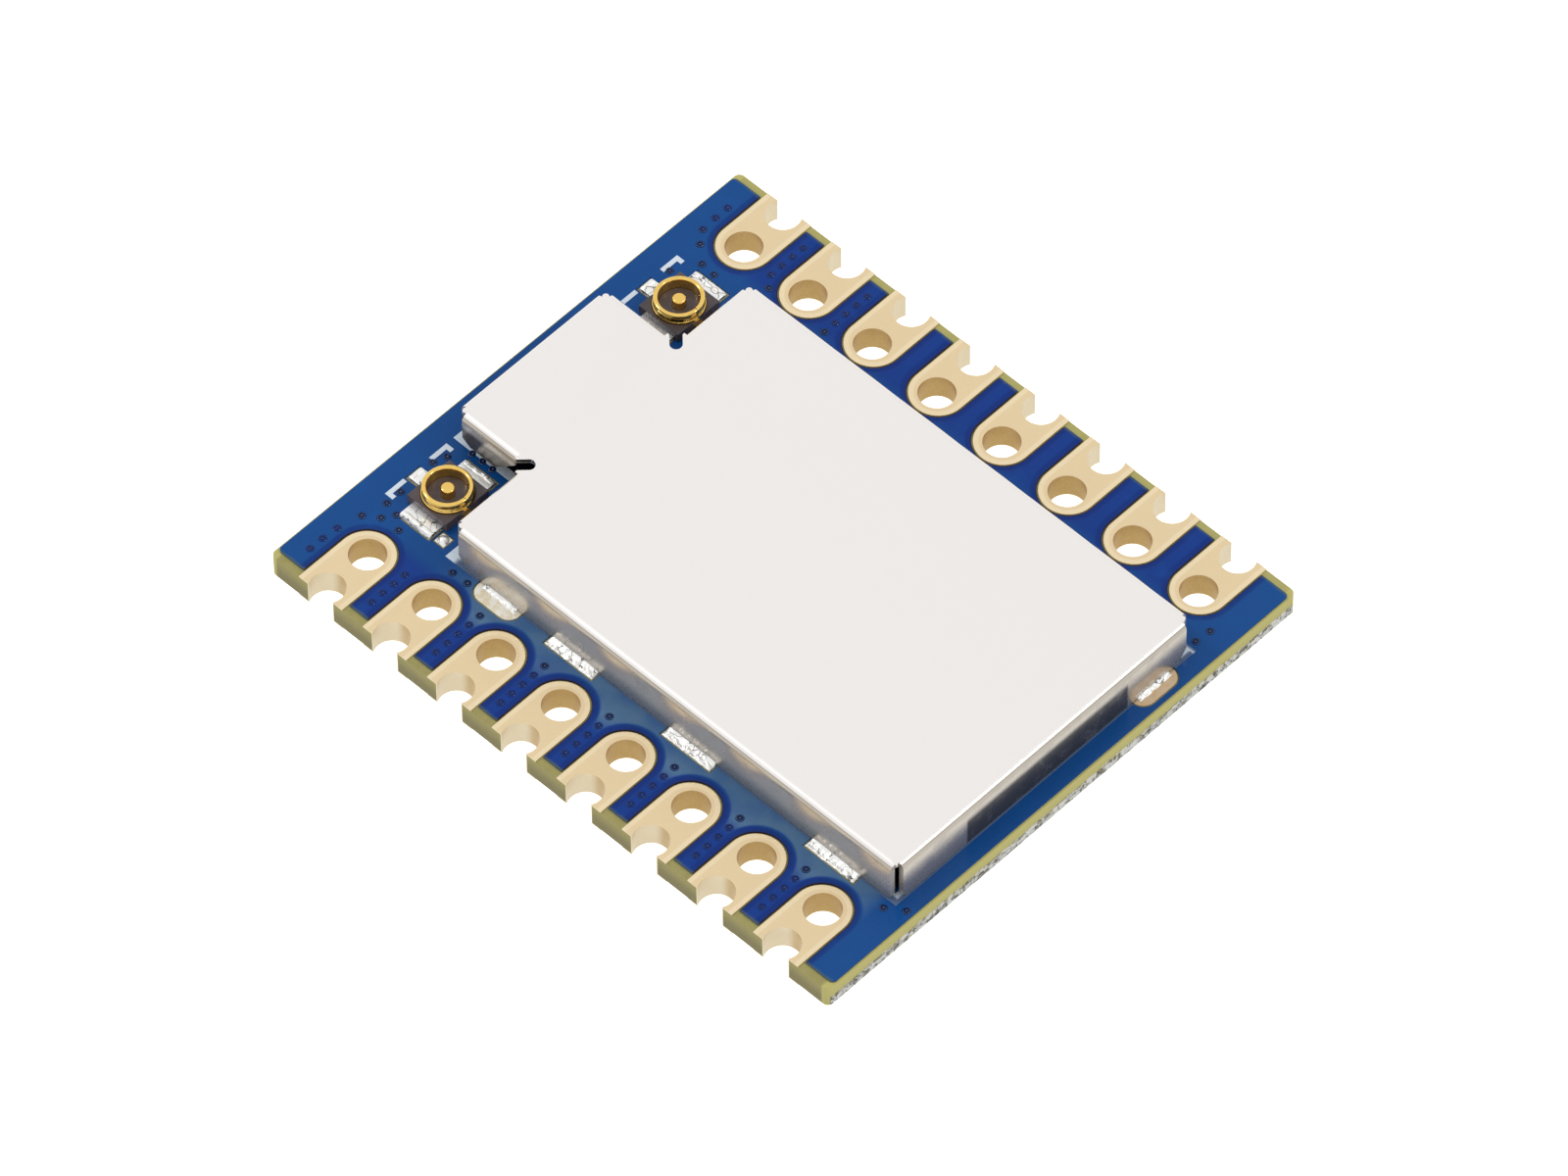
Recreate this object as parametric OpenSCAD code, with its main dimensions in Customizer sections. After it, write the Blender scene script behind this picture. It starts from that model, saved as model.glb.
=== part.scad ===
// Shielded radio module: a small board with two rows of castellated gold pads,
// a folded shield can over the radio parts and two coaxial antenna connectors.
// Millimetres. The origin is the middle of the board's underside, +Z is up, and
// the antenna connectors are at the -X end.

/* [Board] */
// Length of the board along X
board_l = 21.8; // [21.6:0.1:24]
// Width of the board along Y, across the two rows of pads
board_w = 19.0; // [18.6:0.1:21]
// Thickness of the bare laminate
core_t = 0.8; // [0.6:0.1:1.6]
// Corner radius of the laminate
board_corner_r = 0.2; // [0.1:0.05:0.5]
// Thickness of the solder mask on each face
mask_t = 0.05; // [0.05:0.01:0.08]
// Corner radius of the solder mask
mask_corner_r = 0.15; // [0.1:0.05:0.3]
// Bare strip between the mask and the two padded edges
mask_back_y = 0.25; // [0.1:0.05:0.4]
// Bare strip between the mask and the two plain edges
mask_back_x = 0.06; // [0.02:0.02:0.12]
// Gap between the mask and each land
mask_gap = 0.05; // [0.02:0.01:0.06]

/* [Pads] */
// Pads in each of the two rows
pads_per_row = 8; // [6:1:8]
// Distance between neighbouring pads
pad_pitch = 2.54; // [2.5:0.01:2.6]
// Distance between the two rows of pin holes
row_spacing = 15.24; // [15.16:0.02:15.4]
// Diameter of each plated pin hole
hole_d = 1.12; // [0.9:0.02:1.2]
// Diameter of each plated notch in the board's edge
notch_d = 1.1; // [0.9:0.02:1.2]
// Distance from the board's edge in to the notch's centre
notch_inset = 0.27; // [0.1:0.01:0.4]
// Width of each gold land
land_w = 1.72; // [1.6:0.02:1.8]
// Distance from the pin hole out to the centre of the land's round end
land_shift = 0.05; // [0:0.01:0.1]
// Thickness of the gold-plated copper lands
land_t = 0.04; // [0.03:0.01:0.05]
// Thickness of the plating in holes and notches
plating_t = 0.03; // [0.02:0.01:0.04]

/* [Vias] */
// Outer diameter of each via's copper barrel
via_d = 0.28; // [0.24:0.02:0.3]
// Bore of each via's copper barrel
via_bore_d = 0.18; // [0.1:0.02:0.2]
// Diameter of the dimple in the mask over each via
dimple_d = 0.24; // [0.2:0.02:0.3]
// Depth of the dimple in the mask over each via
dimple_depth = 0.03; // [0.01:0.01:0.04]
// Vias in each row between two pads
vias_between_pads = 5; // [3:1:5]
// Distance between the vias of such a row
via_pitch = 0.44; // [0.4:0.01:0.45]
// Distance from the row of pin holes in to the first via
via_lead = 0.64; // [0.6:0.01:0.7]

/* [Shield can] */
// Length of the can's wide part along X
can_l = 17.34; // [17.2:0.02:17.44]
// Distance from the pads' inner ends to the can's long walls
pad_to_can = 0.76; // [0.7:0.01:0.82]
// Offset of the can's middle from the board's centre line, along Y
can_y = -0.07; // [-0.1:0.01:0.1]
// Height of the can's top over the solder mask
can_h = 1.55; // [1.4:0.05:2.5]
// Length of the tongue between the antenna connectors
tongue_l = 2.79; // [2.7:0.01:2.85]
// Width of the tongue between the antenna connectors
tongue_w = 6.16; // [6.04:0.02:6.2]
// Bare board between the can and the +X edge
can_edge_gap = 0.65; // [0.6:0.01:0.7]
// Thickness of the can's sheet metal
sheet_t = 0.17; // [0.15:0.01:0.2]
// Outer radius of the can's bends
bend_r = 0.24; // [0.22:0.01:0.28]
// Distance from an outer corner to the end of each folded wall
corner_gap = 0.34; // [0.3:0.01:0.38]
// Distance from an inner corner to the end of each folded wall
inner_gap = 0.34; // [0.3:0.01:0.4]
// Distance from the front corner to the end of the -Y wall
front_gap_y = 0.2; // [0.1:0.01:0.24]
// Distance from the front corner to the end of the +X wall
front_gap_x = 0.31; // [0.3:0.01:0.36]
// Radius of the relief hole at each inner corner, and half the width of the slot out of it
relief_r = 0.19; // [0.15:0.01:0.2]
// Distance from the inner corner in to the relief hole's centre, along each wall
relief_in = 0.11; // [0.05:0.01:0.15]
// Radius of the small round web that the top keeps at each outer corner
web_r = 0.1; // [0.06:0.01:0.12]
// Distance from the outer corner in to that web's centre, along each wall
web_in = 0.26; // [0.24:0.01:0.28]
// Gap between the walls' lower edges and the solder mask
wall_clear = 0.05; // [0.04:0.01:0.1]
// Gap under the tongue's side walls, over the antenna traces
tongue_clear = 0.4; // [0.3:0.02:0.5]
// Length of the cut at the lower corners of the walls
end_cut_l = 0.3; // [0.1:0.05:0.4]
// Height of the cut at the lower corners of the walls
end_cut_h = 0.45; // [0.1:0.05:0.8]
// Height of that cut on the tongue's shorter side walls
tongue_cut_h = 0.2; // [0.1:0.05:0.5]
// Length and height of the larger cut on the walls beside the inner corners
inner_cut = 0.8; // [0.4:0.05:0.85]
// Length and height of the smaller cut where two long walls meet
front_cut = 0.12; // [0.05:0.01:0.2]

/* [Can joints] */
// Distances from the wide part's -X wall to the long walls' plain joints
side_joints = [4.9, 9.49, 15.04];
// Distance from the wide part's -X wall to the -Y wall's locating tab
side_tab = 2; // [1.6:0.05:2.3]
// Distance from the can's centre line to the +X wall's locating tab
end_tab = 4.38; // [3.8:0.02:4.5]
// Width of the plain joints along the wall
joint_w = 1.86; // [1.6:0.02:2]
// Reach of the plain joints out from the wall
joint_reach = 0.28; // [0.24:0.02:0.32]
// Width of the locating tabs' round-cornered lands
tab_land_w = 1.62; // [1.4:0.02:1.8]
// Reach of the -Y locating tab's land out from the wall
side_tab_reach = 0.5; // [0.42:0.02:0.52]
// Reach of the +X locating tab's land out from the wall
end_tab_reach = 0.39; // [0.34:0.01:0.46]
// Corner radius of the locating tabs' lands
tab_land_r = 0.4; // [0.2:0.05:0.5]
// Reach of every joint in under the can
joint_inside = 0.5; // [0.3:0.05:0.6]
// Width of each foot that the walls stand on
foot_w = 1.3; // [1:0.05:1.5]
// Height of the solder on the wall at a plain joint
solder_h = 0.13; // [0.1:0.01:0.2]
// Reach of the solder out from the wall at a locating tab
bead_reach = 0.12; // [0.08:0.01:0.2]
// Height of that solder on the tab
bead_h = 0.11; // [0.09:0.01:0.16]
// Thickness of the solder at its outer edge
solder_lip = 0.03; // [0.02:0.01:0.04]

/* [Antenna connectors] */
// Distance from the can's -X wall out to each connector's centre
antenna_gap = 1.52; // [1.5:0.01:1.56]
// Distance from the tongue's side walls out to each connector's centre
antenna_side_gap = 1.6; // [1.56:0.01:1.64]
// Length of the insulator along X
insulator_l = 1.56; // [1.5:0.02:1.6]
// Width of the insulator along Y
insulator_w = 1.7; // [1.6:0.02:1.74]
// Height of the insulator over the solder mask
insulator_h = 0.34; // [0.28:0.01:0.36]
// Outer diameter of the ground ring
ring_d = 1.5; // [1.4:0.01:1.52]
// Wall thickness of the ground ring
ring_wall = 0.145; // [0.1:0.005:0.16]
// Height of the ring's rim over the solder mask
ring_h = 0.68; // [0.58:0.01:0.7]
// Radius of the rounded rim
rim_r = 0.05; // [0.02:0.01:0.06]
// Reach of the collar at the ring's foot beyond the ring
collar_reach = 0.04; // [0.02:0.01:0.05]
// Height of that collar over the insulator
collar_h = 0.06; // [0.04:0.01:0.08]
// Width of the seam in the ring, on its +X side
seam_w = 0.03; // [0.02:0.01:0.05]
// Diameter of the centre contact
contact_d = 0.41; // [0.36:0.01:0.44]
// Height of the centre contact over the solder mask
contact_h = 0.6; // [0.5:0.01:0.64]
// Rounding of the centre contact's tip
contact_tip_r = 0.06; // [0.02:0.01:0.08]
// Depth of the insulator's floor inside the ring, below its top
floor_drop = 0.06; // [0.02:0.01:0.1]
// Thickness of the ground legs and the signal tail
leg_t = 0.1; // [0.08:0.01:0.12]
// Width of the two side legs along X
side_leg_w = 1.2; // [1:0.05:1.3]
// Reach of the side legs from the connector's centre
side_leg_reach = 1.27; // [1.15:0.01:1.3]
// Width of the end leg along Y
end_leg_w = 0.5; // [0.4:0.02:0.6]
// Reach of the end leg from the connector's centre
end_leg_reach = 1.28; // [1.15:0.01:1.3]
// Width of the signal tail along Y
tail_w = 0.3; // [0.2:0.02:0.4]
// Reach of the signal tail from the connector's centre
tail_reach = 1.15; // [1:0.01:1.2]
// Reach of each land and its solder beyond the leg's end
leg_solder_reach = 0.1; // [0.06:0.01:0.12]
// Side of the small test land beside the -Y connector
test_land_w = 0.36; // [0.3:0.02:0.4]

/* [Legend] */
// Thickness of the white legend
legend_t = 0.02; // [0.01:0.01:0.03]
// Width of the legend line round the can
legend_w = 0.3; // [0.2:0.02:0.4]
// Reach of that line beyond the can's +X wall
legend_out_end = 0.04; // [0.03:0.01:0.1]
// Reach of that line beyond the can's long walls
legend_out_side = 0.04; // [0.03:0.01:0.1]
// Reach of that line beyond the can's -X walls
legend_out_back = 0.16; // [0.1:0.01:0.18]
// Distance of that line in from the tongue's side walls
legend_in_tongue = 0.13; // [0.05:0.01:0.2]
// Width of the corner brackets at the connectors
bracket_w = 0.15; // [0.1:0.01:0.2]
// Distance from the connector's centre out to the brackets
bracket_reach = 1.43; // [1.42:0.01:1.5]

/* [Parts under the can] */
// Side of the square transceiver chip
radio_w = 5; // [4:0.1:5]
// Height of the transceiver chip
radio_h = 0.85; // [0.75:0.05:0.9]
// Terminals on each side of the transceiver chip
radio_terminals = 8; // [4:1:8]
// Distance between those terminals
radio_pitch = 0.5; // [0.4:0.05:0.5]
// Length of the chip capacitors, inductors and resistors
chip_l = 1.0; // [0.9:0.05:1.1]
// Width of the chip capacitors, inductors and resistors
chip_w = 0.5; // [0.4:0.05:0.6]
// Length of the reference oscillator
oscillator_l = 2.5; // [2:0.1:2.5]
// Width of the reference oscillator
oscillator_w = 2.0; // [1.6:0.1:2]
// Height of the reference oscillator
oscillator_h = 0.8; // [0.6:0.05:0.9]
// Length of the watch crystal
crystal_l = 1.2; // [1:0.1:1.2]
// Width of the watch crystal
crystal_w = 2.0; // [1.6:0.1:2]
// Height of the watch crystal
crystal_h = 0.6; // [0.4:0.05:0.7]
// Thickness of the metal lids on the oscillator and the crystal
lid_t = 0.15; // [0.1:0.05:0.2]
// Distance from a package's edge in to its lid
lid_in = 0.12; // [0.08:0.02:0.2]
// Side of the square power inductor
inductor_w = 2.5; // [2:0.1:2.6]
// Height of the power inductor
inductor_h = 1.0; // [0.8:0.05:1.1]
// Side of the square low band switch
low_switch_w = 1.5; // [1.2:0.1:1.6]
// Height of the low band switch
low_switch_h = 0.55; // [0.4:0.05:0.7]
// Length of the high band switch
high_switch_l = 1.1; // [0.8:0.1:1.2]
// Width of the high band switch
high_switch_w = 0.7; // [0.6:0.1:0.8]
// Height of the high band switch
high_switch_h = 0.5; // [0.35:0.05:0.6]
// Length of the antenna filter
filter_l = 0.8; // [0.6:0.1:0.8]
// Width of the antenna filter
filter_w = 1.6; // [1.2:0.1:1.6]
// Height of the antenna filter
filter_h = 0.6; // [0.4:0.05:0.7]
// Height of the chip capacitors
capacitor_h = 0.5; // [0.4:0.05:0.6]
// Height of the chip inductors
chip_inductor_h = 0.55; // [0.4:0.05:0.6]
// Height of the chip resistors
resistor_h = 0.35; // [0.3:0.05:0.45]
// Length of a chip part's end caps
end_cap_l = 0.25; // [0.15:0.05:0.3]

/* [Hidden] */
$fn = 48;

hole_r = hole_d / 2;
notch_r = notch_d / 2;
row_y = row_spacing / 2;
edge_from_row = board_w / 2 - row_y;
core_z = mask_t;
core_top = core_z + core_t;
mask_top = core_top + mask_t;
land_top = core_top + land_t;
land_bottom = core_z - land_t;

can_w = 2 * (row_y + land_shift - land_w / 2 - pad_to_can);
can_x1 = board_l / 2 - can_edge_gap;
can_x0 = can_x1 - can_l;
tongue_x0 = can_x0 - tongue_l;
can_top = mask_top + can_h;
wall_drop = can_h - wall_clear;
tongue_drop = can_h - tongue_clear;
foot_drop = can_top - land_top;
land_inner = sheet_t + joint_inside;

antenna_x = can_x0 - antenna_gap;
antenna_y = tongue_w / 2 + antenna_side_gap;
ring_r = ring_d / 2;
ring_bore_r = ring_r - ring_wall;
contact_r = contact_d / 2;
leg_z = mask_top;
insulator_top = mask_top + insulator_h;
ring_top = mask_top + ring_h;

// A tool that cuts right through a piece runs past it by this much
over = 1;

// Where the single vias lie: distance from the -X edge, and Y
left_vias = [
    [0.7, -8.6], [0.7, -8.1], [0.74, -7.56], [0.93, -6.77], [1.38, -6.45], [1.13, -5.97],
    [1.62, -6.08], [2.05, -6.42], [1.13, -5.42], [4.2, -6.44], [4.76, -6.42], [0.7, 8.3],
    [0.7, 7.8], [0.73, 7.25], [1.05, 6.81], [1.59, 6.33], [2.11, 6.28], [3.58, 7.02],
    [1.64, -3.06], [2.04, -3.06], [2.44, -3.06], [1.2, -3.62], [1.05, -4.05], [1.1, 5.52]
];
// Where the vias near the +X end lie: distance from the +X edge, and Y
right_vias = [[0.82, -6.44], [0.28, -6.07], [0.8, 6.8], [0.85, 6.26]];
// Gaps between the +Y pads that have vias
filled_gaps = [0, 1];

function pad_x(i) = (i - (pads_per_row - 1) / 2) * pad_pitch;
function gap_x(i) = (pad_x(i) + pad_x(i + 1)) / 2;
function via_row(x, side, first, count) =
    [for (k = [first : count - 1]) [x, side * (row_y - via_lead + k * via_pitch)]];

single_vias = concat(
    [for (v = left_vias) [v[0] - board_l / 2, v[1]]],
    [for (v = right_vias) [board_l / 2 - v[0], v[1]]]
);
row_vias = [
    for (i = [0 : pads_per_row - 2]) each via_row(gap_x(i), -1, i == 0 ? 1 : 0, vias_between_pads)
];
far_row_vias = [
    for (i = filled_gaps) each via_row(gap_x(i), 1, i == 0 ? 1 : 0, vias_between_pads)
];
all_vias = concat(single_vias, row_vias, far_row_vias);

// A wall joint is [centre along the wall, width, reach out from the wall, corner radius]
plain_joints = [for (d = side_joints) [can_x0 + d, joint_w, joint_reach, 0]];
near_tab = [can_x0 + side_tab, tab_land_w, side_tab_reach, tab_land_r];
end_joint = [end_tab, tab_land_w, end_tab_reach, tab_land_r];
tongue_joint = [0, joint_w, joint_reach, 0];

// Parts under the can, as [X from the can's middle, Y, turn]
can_mid = (can_x0 + can_x1) / 2;
radio_at = [-0.4, 0.3];
capacitors_at = [
    [-4.4, -2.6, 0], [-4.4, -1.7, 0], [-4.4, 1.6, 0], [-4.4, 2.5, 0], [-2.9, 4.1, 90],
    [-1.6, 4.1, 90], [-0.3, 4.1, 90], [1.0, 4.1, 90], [-2.2, -3.6, 90], [-1.2, -3.6, 90],
    [3.2, -4.3, 0], [6.9, -4.3, 0], [-6.6, 3.9, 90], [-6.6, -3.9, 90]
];
inductors_at = [
    [-6.2, -1.5, 90], [-6.2, 1.5, 90], [-7.3, 3.9, 90], [-7.3, -3.9, 90],
    [-5.4, 4.3, 0], [-5.4, -4.3, 0], [0.1, -3.6, 90], [1.2, -3.6, 90]
];
resistors_at = [[3.2, -5.1, 0], [2.8, 4.1, 90], [6.9, 4.6, 0]];
oscillator_at = [5.4, 2.2];
crystal_at = [4.2, 0.05];
inductor_at = [5.4, -2.4];
low_switch_at = [-8.0, 0.0];
high_switch_at = [-4.4, -0.1];
filter_at = [-9.6, 0.0];

function pad_name(n) = str("pad_", n < 10 ? "0" : "", n);

// Flat shapes

module rounded_rect(l, w, r) {
    square([l - 2 * r, w], center = true);
    square([l, w - 2 * r], center = true);
    for (sx = [-1, 1], sy = [-1, 1])
        translate([sx * (l / 2 - r), sy * (w / 2 - r)]) circle(r = r);
}

// One land, with its pin hole at the origin and the board's edge towards +Y
module land_outline(grow, past_edge) {
    translate([0, land_shift]) circle(d = land_w + 2 * grow);
    translate([-land_w / 2 - grow, land_shift])
        square([land_w + 2 * grow, edge_from_row - land_shift + past_edge]);
}

// Puts its children at pad n, counted along the -Y row and back along the +Y row
module at_pad(n) {
    near = n <= pads_per_row;
    i = near ? n - 1 : 2 * pads_per_row - n;
    translate([pad_x(i), near ? -row_y : row_y, 0]) rotate(near ? 180 : 0) children();
}

// Puts its children at every place in a list of [X, Y]
module at_each(places) {
    for (p = places) translate([p[0], p[1], 0]) children();
}

// The land of one wall joint: the wall's outer face is the X axis, and outside is -Y
module joint_outline(joint, grow) {
    depth = joint[2] + land_inner;
    translate([joint[0], (land_inner - joint[2]) / 2])
        if (joint[3] > 0)
            rounded_rect(joint[1] + 2 * grow, depth + 2 * grow, joint[3] + grow);
        else
            square([joint[1] + 2 * grow, depth + 2 * grow], center = true);
}

// Puts its children on a wall of the can, with the wall's outer face on the X axis
module on_near_wall() { translate([0, -can_w / 2, 0]) children(); }
module on_far_wall() { mirror([0, 1, 0]) on_near_wall() children(); }
module on_end_wall() { translate([can_x1, 0, 0]) rotate(90) children(); }
module on_back_wall() { translate([can_x0, 0, 0]) rotate(-90) children(); }
module on_tongue_end() { translate([tongue_x0, 0, 0]) rotate(-90) children(); }
module on_tongue_side() { translate([0, -tongue_w / 2, 0]) children(); }

// Puts its children in the can's own place, with its middle line on Y 0
module at_can() { translate([0, can_y, 0]) children(); }

module all_joint_outlines(grow) {
    at_can() {
        on_near_wall() for (j = plain_joints) joint_outline(j, grow);
        on_near_wall() joint_outline(near_tab, grow);
        on_far_wall() for (j = plain_joints) joint_outline(j, grow);
        on_end_wall() joint_outline(end_joint, grow);
        on_tongue_end() joint_outline(tongue_joint, grow);
    }
}

// Lands under one connector's legs and tail, about the connector's centre
module antenna_land_outlines(grow) {
    half_l = insulator_l / 2;
    half_w = insulator_w / 2;
    reach_y = side_leg_reach + leg_solder_reach - half_w;
    for (sy = [-1, 1])
        translate([0, sy * (half_w + reach_y / 2)])
            square([side_leg_w + 2 * grow, reach_y + 2 * grow], center = true);
    reach_x = end_leg_reach + leg_solder_reach - half_l;
    translate([-half_l - reach_x / 2, 0])
        square([reach_x + 2 * grow, end_leg_w + 2 * grow], center = true);
    reach_t = tail_reach + leg_solder_reach - half_l;
    translate([half_l + reach_t / 2, 0])
        square([reach_t + 2 * grow, tail_w + 2 * grow], center = true);
}

module test_land_outline(grow) {
    translate([antenna_x + insulator_l / 2 + test_land_w / 2 - 0.05, -antenna_y - 1.11])
        square(test_land_w + 2 * grow, center = true);
}

module at_antenna_a() { translate([antenna_x, -antenna_y, 0]) children(); }
module at_antenna_b() { translate([antenna_x, antenna_y, 0]) children(); }

module mask_outline() {
    difference() {
        rounded_rect(board_l - 2 * mask_back_x, board_w - 2 * mask_back_y, mask_corner_r);
        for (n = [1 : 2 * pads_per_row]) at_pad(n) land_outline(mask_gap, over);
    }
}

// Board

module board_core() {
    color("darkkhaki") translate([0, 0, core_z]) linear_extrude(core_t) difference() {
        rounded_rect(board_l, board_w, board_corner_r);
        for (n = [1 : 2 * pads_per_row]) at_pad(n) {
            circle(r = hole_r + plating_t);
            translate([0, edge_from_row - notch_inset]) circle(r = notch_r + plating_t);
        }
        at_each(all_vias) circle(d = via_d);
    }
}

// The dip of a mask where it spans a via, opening upwards
module dimple() {
    cylinder(d1 = dimple_d / 2, d2 = dimple_d, h = dimple_depth);
}

module solder_mask_top() {
    color("royalblue") difference() {
        translate([0, 0, core_top]) linear_extrude(mask_t) difference() {
            mask_outline();
            all_joint_outlines(mask_gap);
            at_antenna_a() antenna_land_outlines(mask_gap);
            at_antenna_b() antenna_land_outlines(mask_gap);
            test_land_outline(mask_gap);
        }
        at_each(all_vias) translate([0, 0, mask_top - dimple_depth]) dimple();
    }
}

module solder_mask_bottom() {
    color("royalblue") difference() {
        linear_extrude(mask_t) mask_outline();
        at_each(all_vias) translate([0, 0, dimple_depth]) mirror([0, 0, 1]) dimple();
    }
}

module via_barrels() {
    color("peru") translate([0, 0, core_z]) at_each(all_vias) linear_extrude(core_t)
        difference() {
            circle(d = via_d);
            circle(d = via_bore_d);
        }
}

// One pad: lands on both faces, joined by the plated hole and the plated notch
module pad(n) {
    full_h = land_top - land_bottom;
    color("burlywood") at_pad(n) difference() {
        union() {
            for (z = [land_bottom, core_top])
                translate([0, 0, z]) linear_extrude(land_t) land_outline(0, 0);
            translate([0, 0, land_bottom]) linear_extrude(full_h) {
                circle(r = hole_r + plating_t);
                intersection() {
                    translate([0, edge_from_row - notch_inset]) circle(r = notch_r + plating_t);
                    translate([-land_w / 2, 0]) square([land_w, edge_from_row]);
                }
            }
        }
        translate([0, 0, -over]) cylinder(r = hole_r, h = full_h + 2 * over);
        translate([0, edge_from_row - notch_inset, -over])
            cylinder(r = notch_r, h = full_h + 2 * over);
    }
}

// White legend: a line round the can and corner brackets at the connectors

module can_line_outline(inset) {
    x0 = can_x0 - legend_out_back + inset;
    x1 = can_x1 + legend_out_end - inset;
    half_w = can_w / 2 + legend_out_side - inset;
    translate([x0, -half_w]) square([x1 - x0, 2 * half_w]);
    tongue_half = tongue_w / 2 - legend_in_tongue - inset;
    tongue_start = tongue_x0 - legend_out_back + inset;
    translate([tongue_start, -tongue_half]) square([x1 - tongue_start, 2 * tongue_half]);
}

// A bracket's long stroke runs along Y and its short stroke turns towards the connector
module bracket(y0, y1, turn_at) {
    translate([-bracket_reach, y0]) square([bracket_w, y1 - y0]);
    translate([-bracket_reach, turn_at - bracket_w / 2]) square([2 * bracket_w, bracket_w]);
}

module brackets() {
    bracket(0.68, 1.38, 1.305);
    bracket(-1.09, -0.36, -1.015);
}

module legend_top() {
    color("white") translate([0, 0, mask_top]) linear_extrude(legend_t) difference() {
        union() {
            at_can() difference() {
                can_line_outline(0);
                can_line_outline(legend_w);
            }
            at_antenna_a() brackets();
            at_antenna_b() brackets();
        }
        all_joint_outlines(mask_gap);
        at_antenna_a() antenna_land_outlines(mask_gap);
        at_antenna_b() antenna_land_outlines(mask_gap);
        at_each(all_vias) circle(d = dimple_d);
    }
}

// Shield can: a folded sheet, with a flat top and a wall hung from each edge

// One bend with its wall along +X. The outer face is in the XZ plane and the top is at Z 0.
module folded_wall(x0, x1, drop, cut0, cut1) {
    difference() {
        translate([x0, 0, 0]) rotate([90, 0, 90]) linear_extrude(x1 - x0) {
            intersection() {
                translate([bend_r, -bend_r]) difference() {
                    circle(r = bend_r);
                    circle(r = bend_r - sheet_t);
                }
                translate([0, -bend_r]) square(bend_r);
            }
            translate([0, -drop]) square([sheet_t, drop - bend_r]);
        }
        translate([0, sheet_t + over, -drop]) rotate([90, 0, 0]) linear_extrude(sheet_t + 2 * over) {
            polygon([[x0 - over, -over], [x0 + cut0[0], -over], [x0 + cut0[0], 0], [x0, cut0[1]],
                [x0 - over, cut0[1]]]);
            polygon([[x1 + over, -over], [x1 - cut1[0], -over], [x1 - cut1[0], 0], [x1, cut1[1]],
                [x1 + over, cut1[1]]]);
        }
    }
}

// A foot carries the wall down to its land
module foot(joint) {
    translate([joint[0] - foot_w / 2, 0, -foot_drop]) cube([foot_w, sheet_t, foot_drop - bend_r]);
}

module can_flat_outline() {
    x0 = can_x0 + bend_r;
    x1 = can_x1 - bend_r;
    half_w = can_w / 2 - bend_r;
    half_tongue = tongue_w / 2 - bend_r;
    translate([x0, -half_w]) square([x1 - x0, 2 * half_w]);
    translate([tongue_x0 + bend_r, -half_tongue]) square([x1 - tongue_x0 - bend_r, 2 * half_tongue]);
    // Flat webs at the inner corners, where no wall is folded down
    translate([can_x0 - inner_gap, -tongue_w / 2]) square([inner_gap + bend_r, tongue_w]);
    translate([can_x0, -tongue_w / 2 - inner_gap]) square([bend_r, tongue_w + 2 * inner_gap]);
    for (sy = [-1, 1]) {
        translate([can_x1 - web_in, sy * (can_w / 2 - web_in)]) circle(r = web_r);
        translate([can_x0 + web_in, sy * (can_w / 2 - web_in)]) circle(r = web_r);
        translate([tongue_x0 + web_in, sy * (tongue_w / 2 - web_in)]) circle(r = web_r);
    }
}

module shield_can() {
    side_cut = [end_cut_l, end_cut_h];
    small_cut = [front_cut, front_cut];
    tongue_cut = [end_cut_l, tongue_cut_h];
    corner_cut = [inner_cut, inner_cut];
    back_start = tongue_w / 2 + inner_gap;
    color("gainsboro") at_can() translate([0, 0, can_top]) difference() {
        union() {
            translate([0, 0, -sheet_t]) linear_extrude(sheet_t) can_flat_outline();
            on_near_wall() {
                folded_wall(can_x0 + corner_gap, can_x1 - front_gap_y, wall_drop, side_cut, small_cut);
                for (j = plain_joints) foot(j);
                foot(near_tab);
            }
            on_far_wall() {
                folded_wall(can_x0 + corner_gap, can_x1 - corner_gap, wall_drop, side_cut, side_cut);
                for (j = plain_joints) foot(j);
            }
            on_end_wall() {
                folded_wall(front_gap_x - can_w / 2, can_w / 2 - corner_gap, wall_drop,
                    small_cut, side_cut);
                foot(end_joint);
            }
            for (s = [0, 1]) mirror([0, s, 0]) {
                on_back_wall()
                    folded_wall(back_start, can_w / 2 - corner_gap, wall_drop, corner_cut, side_cut);
                on_tongue_side()
                    folded_wall(tongue_x0 + corner_gap, can_x0 - inner_gap, tongue_drop,
                        tongue_cut, corner_cut);
            }
            on_tongue_end() {
                folded_wall(corner_gap - tongue_w / 2, tongue_w / 2 - corner_gap, wall_drop,
                    side_cut, side_cut);
                foot(tongue_joint);
            }
        }
        for (s = [0, 1]) mirror([0, s, 0])
            translate([can_x0 + relief_in, relief_in - tongue_w / 2, -sheet_t - over]) {
                cylinder(r = relief_r, h = sheet_t + 2 * over);
                rotate(-135) translate([0, -relief_r, 0])
                    cube([2 * inner_gap, 2 * relief_r, sheet_t + 2 * over]);
            }
    }
}

module can_lands() {
    color("silver") translate([0, 0, core_top]) linear_extrude(land_t) all_joint_outlines(0);
}

// Solder drawn up the wall in a hollow curve, from a thin lip at its outer edge
module solder_fillet(joint, width, reach, height) {
    steps = 8;
    translate([joint[0] - width / 2, 0, land_top]) rotate([90, 0, 90]) linear_extrude(width)
        polygon(concat(
            [[0, 0], [-reach, 0]],
            [for (k = [0 : steps]) let (t = k / steps)
                [-reach * (1 - t), solder_lip + (height - solder_lip) * pow(t, 2.6)]]
        ));
}

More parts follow.
